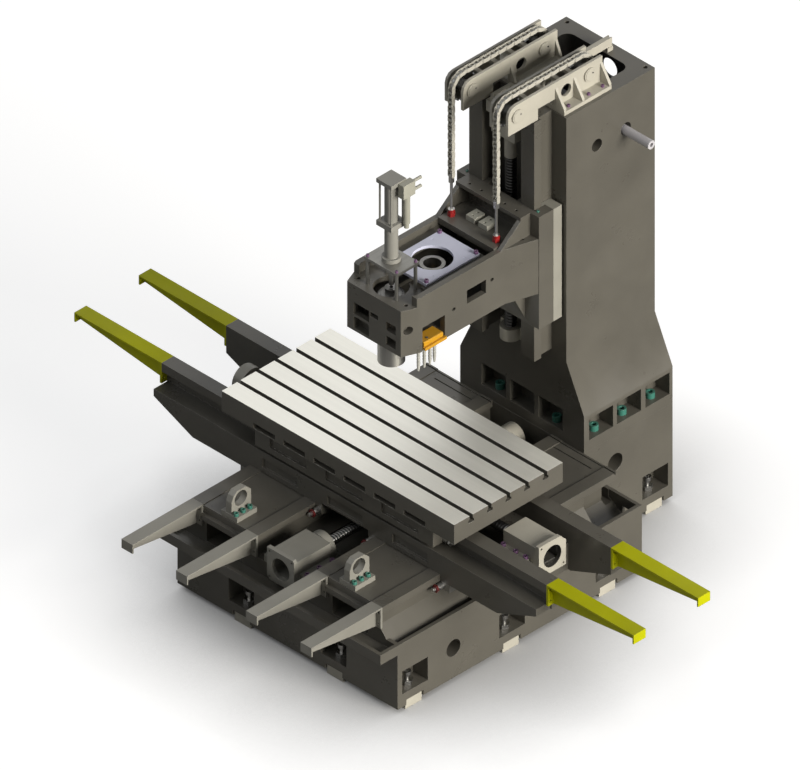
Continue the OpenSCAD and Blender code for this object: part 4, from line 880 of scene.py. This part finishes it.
def coolant_nozzles():
    """Four jointed pipes of ball and socket segments with a tapered tip, and their end fitting."""
    row_x, foot, tip, segment = 192, HEAD_Z + 10, HEAD_Z - 112, 17.0
    steps = [(foot, 8.0)]
    z = foot - 4
    while z - segment > tip + 16:
        steps += [(z, 8.6), (z - 0.62 * segment, 8.2), (z - 0.78 * segment, 6.4), (z - 0.95 * segment, 6.6)]
        z -= segment
    steps += [(z, 8.4), (z - 5, 8.2), (tip, 4.6), (tip, 3.0), (tip + 10, 2.6)]
    shape = Shape()
    for y in (-17, 21, 57, 86):
        shape.skin([[at(row_x + r * math.cos(a), SPINDLE_Y + y + r * math.sin(a), height) for a in turns(16)]
                    for height, r in steps])
    square = ((-8, -8), (8, -8), (8, 8), (-8, 8))
    shape.skin([[at(row_x + u, SPINDLE_Y + y, HEAD_Z + 16 + v) for u, v in square] for y in (-25, -5)])
    make("coolant_nozzles", shape, finishes["nozzle"], "head")


bracket_foot_screws()
slide_top_plugs()
axle_end_discs()
coolant_block()
coolant_nozzles()


# ---------------------------------------------------------------- studio


def studio_floor():
    """Pale floor that keeps the machine's shadow; its glow toward the camera is painted darker near the
    machine, a painted contact shade.
    """
    mesh = bpy.data.meshes.new("studio_floor")
    half = 30.0
    corners = [(-half, -half, 0), (half, -half, 0), (half, half, 0), (-half, half, 0)]
    mesh.from_pydata(corners, [], [(0, 1, 2, 3)])
    floor = put_in_scene("studio_floor", mesh)
    material, tree, shader = start_material("pale_floor")
    shader.inputs["Base Color"].default_value = (0.38, 0.38, 0.38, 1.0)
    shader.inputs["Roughness"].default_value = 0.9
    shader.inputs["Specular IOR Level"].default_value = 0.0
    path = tree.nodes.new("ShaderNodeLightPath")
    # Painted shade: ambient occlusion dims the floor's glow near the machine.
    open_sky = place(tree, "ShaderNodeAmbientOcclusion", Distance=0.75)
    open_sky.samples = 16
    glow_with_painted_shade = math_node(tree, "MULTIPLY", math_node(tree, "POWER", open_sky.outputs["AO"], 1.7), 0.80)
    shader.inputs["Emission Color"].default_value = (1.0, 1.0, 1.0, 1.0)
    glow = math_node(tree, "MULTIPLY", path.outputs["Is Camera Ray"], glow_with_painted_shade)
    wire(tree, glow, shader.inputs["Emission Strength"])
    mesh.materials.append(material)


def studio_world():
    """White for the camera and for reflections, a faint even light on everything else."""
    world = bpy.data.worlds.new("studio")
    bpy.context.scene.world = world
    world.use_nodes = True
    tree = world.node_tree
    path = tree.nodes.new("ShaderNodeLightPath")
    seen = math_node(tree, "MAXIMUM", path.outputs["Is Camera Ray"], path.outputs["Is Glossy Ray"])
    seen = math_node(tree, "MAXIMUM", seen, path.outputs["Is Transmission Ray"])
    strength = spread(tree, seen, 0.0, 1.0, 0.08, 1.0)
    back = tree.nodes["Background"]
    back.inputs["Color"].default_value = (1.0, 1.0, 1.0, 1.0)
    wire(tree, strength, back.inputs["Strength"])


def sun(name, toward, strength, colour, angle):
    """A soft lamp whose light comes from the given direction."""
    lamp = bpy.data.lights.new(name, "SUN")
    lamp.energy = strength
    lamp.color = colour
    lamp.angle = math.radians(angle)
    holder = put_in_scene(name, lamp)
    holder.rotation_mode = "QUATERNION"
    holder.rotation_quaternion = Vector(toward).to_track_quat("Z", "Y")


def photo_camera():
    """Parallel view along the equal-angle direction, framed as in the photograph."""
    data = bpy.data.cameras.new("photo_camera")
    data.type = "ORTHO"
    data.ortho_scale = 3.65
    data.clip_end = 60.0
    camera = put_in_scene("photo_camera", data)
    middle, back = Vector((-0.1278, 0.0404, 1.0)), Vector((1.0, -1.0, 1.0)).normalized()
    camera.location = middle + back * 12.0
    camera.rotation_mode = "QUATERNION"
    camera.rotation_quaternion = back.to_track_quat("Z", "Y")
    bpy.context.scene.camera = camera


studio_floor()
studio_world()
sun("key_lamp", toward=(0.95, 0.08, 0.29), strength=5.0, colour=(1.0, 0.96, 0.89), angle=30)
sun("fill_lamp", toward=(-0.3, -0.5, 0.8), strength=0.42, colour=(0.92, 0.96, 1.0), angle=60)
photo_camera()
bpy.context.scene.view_settings.view_transform = "Standard"
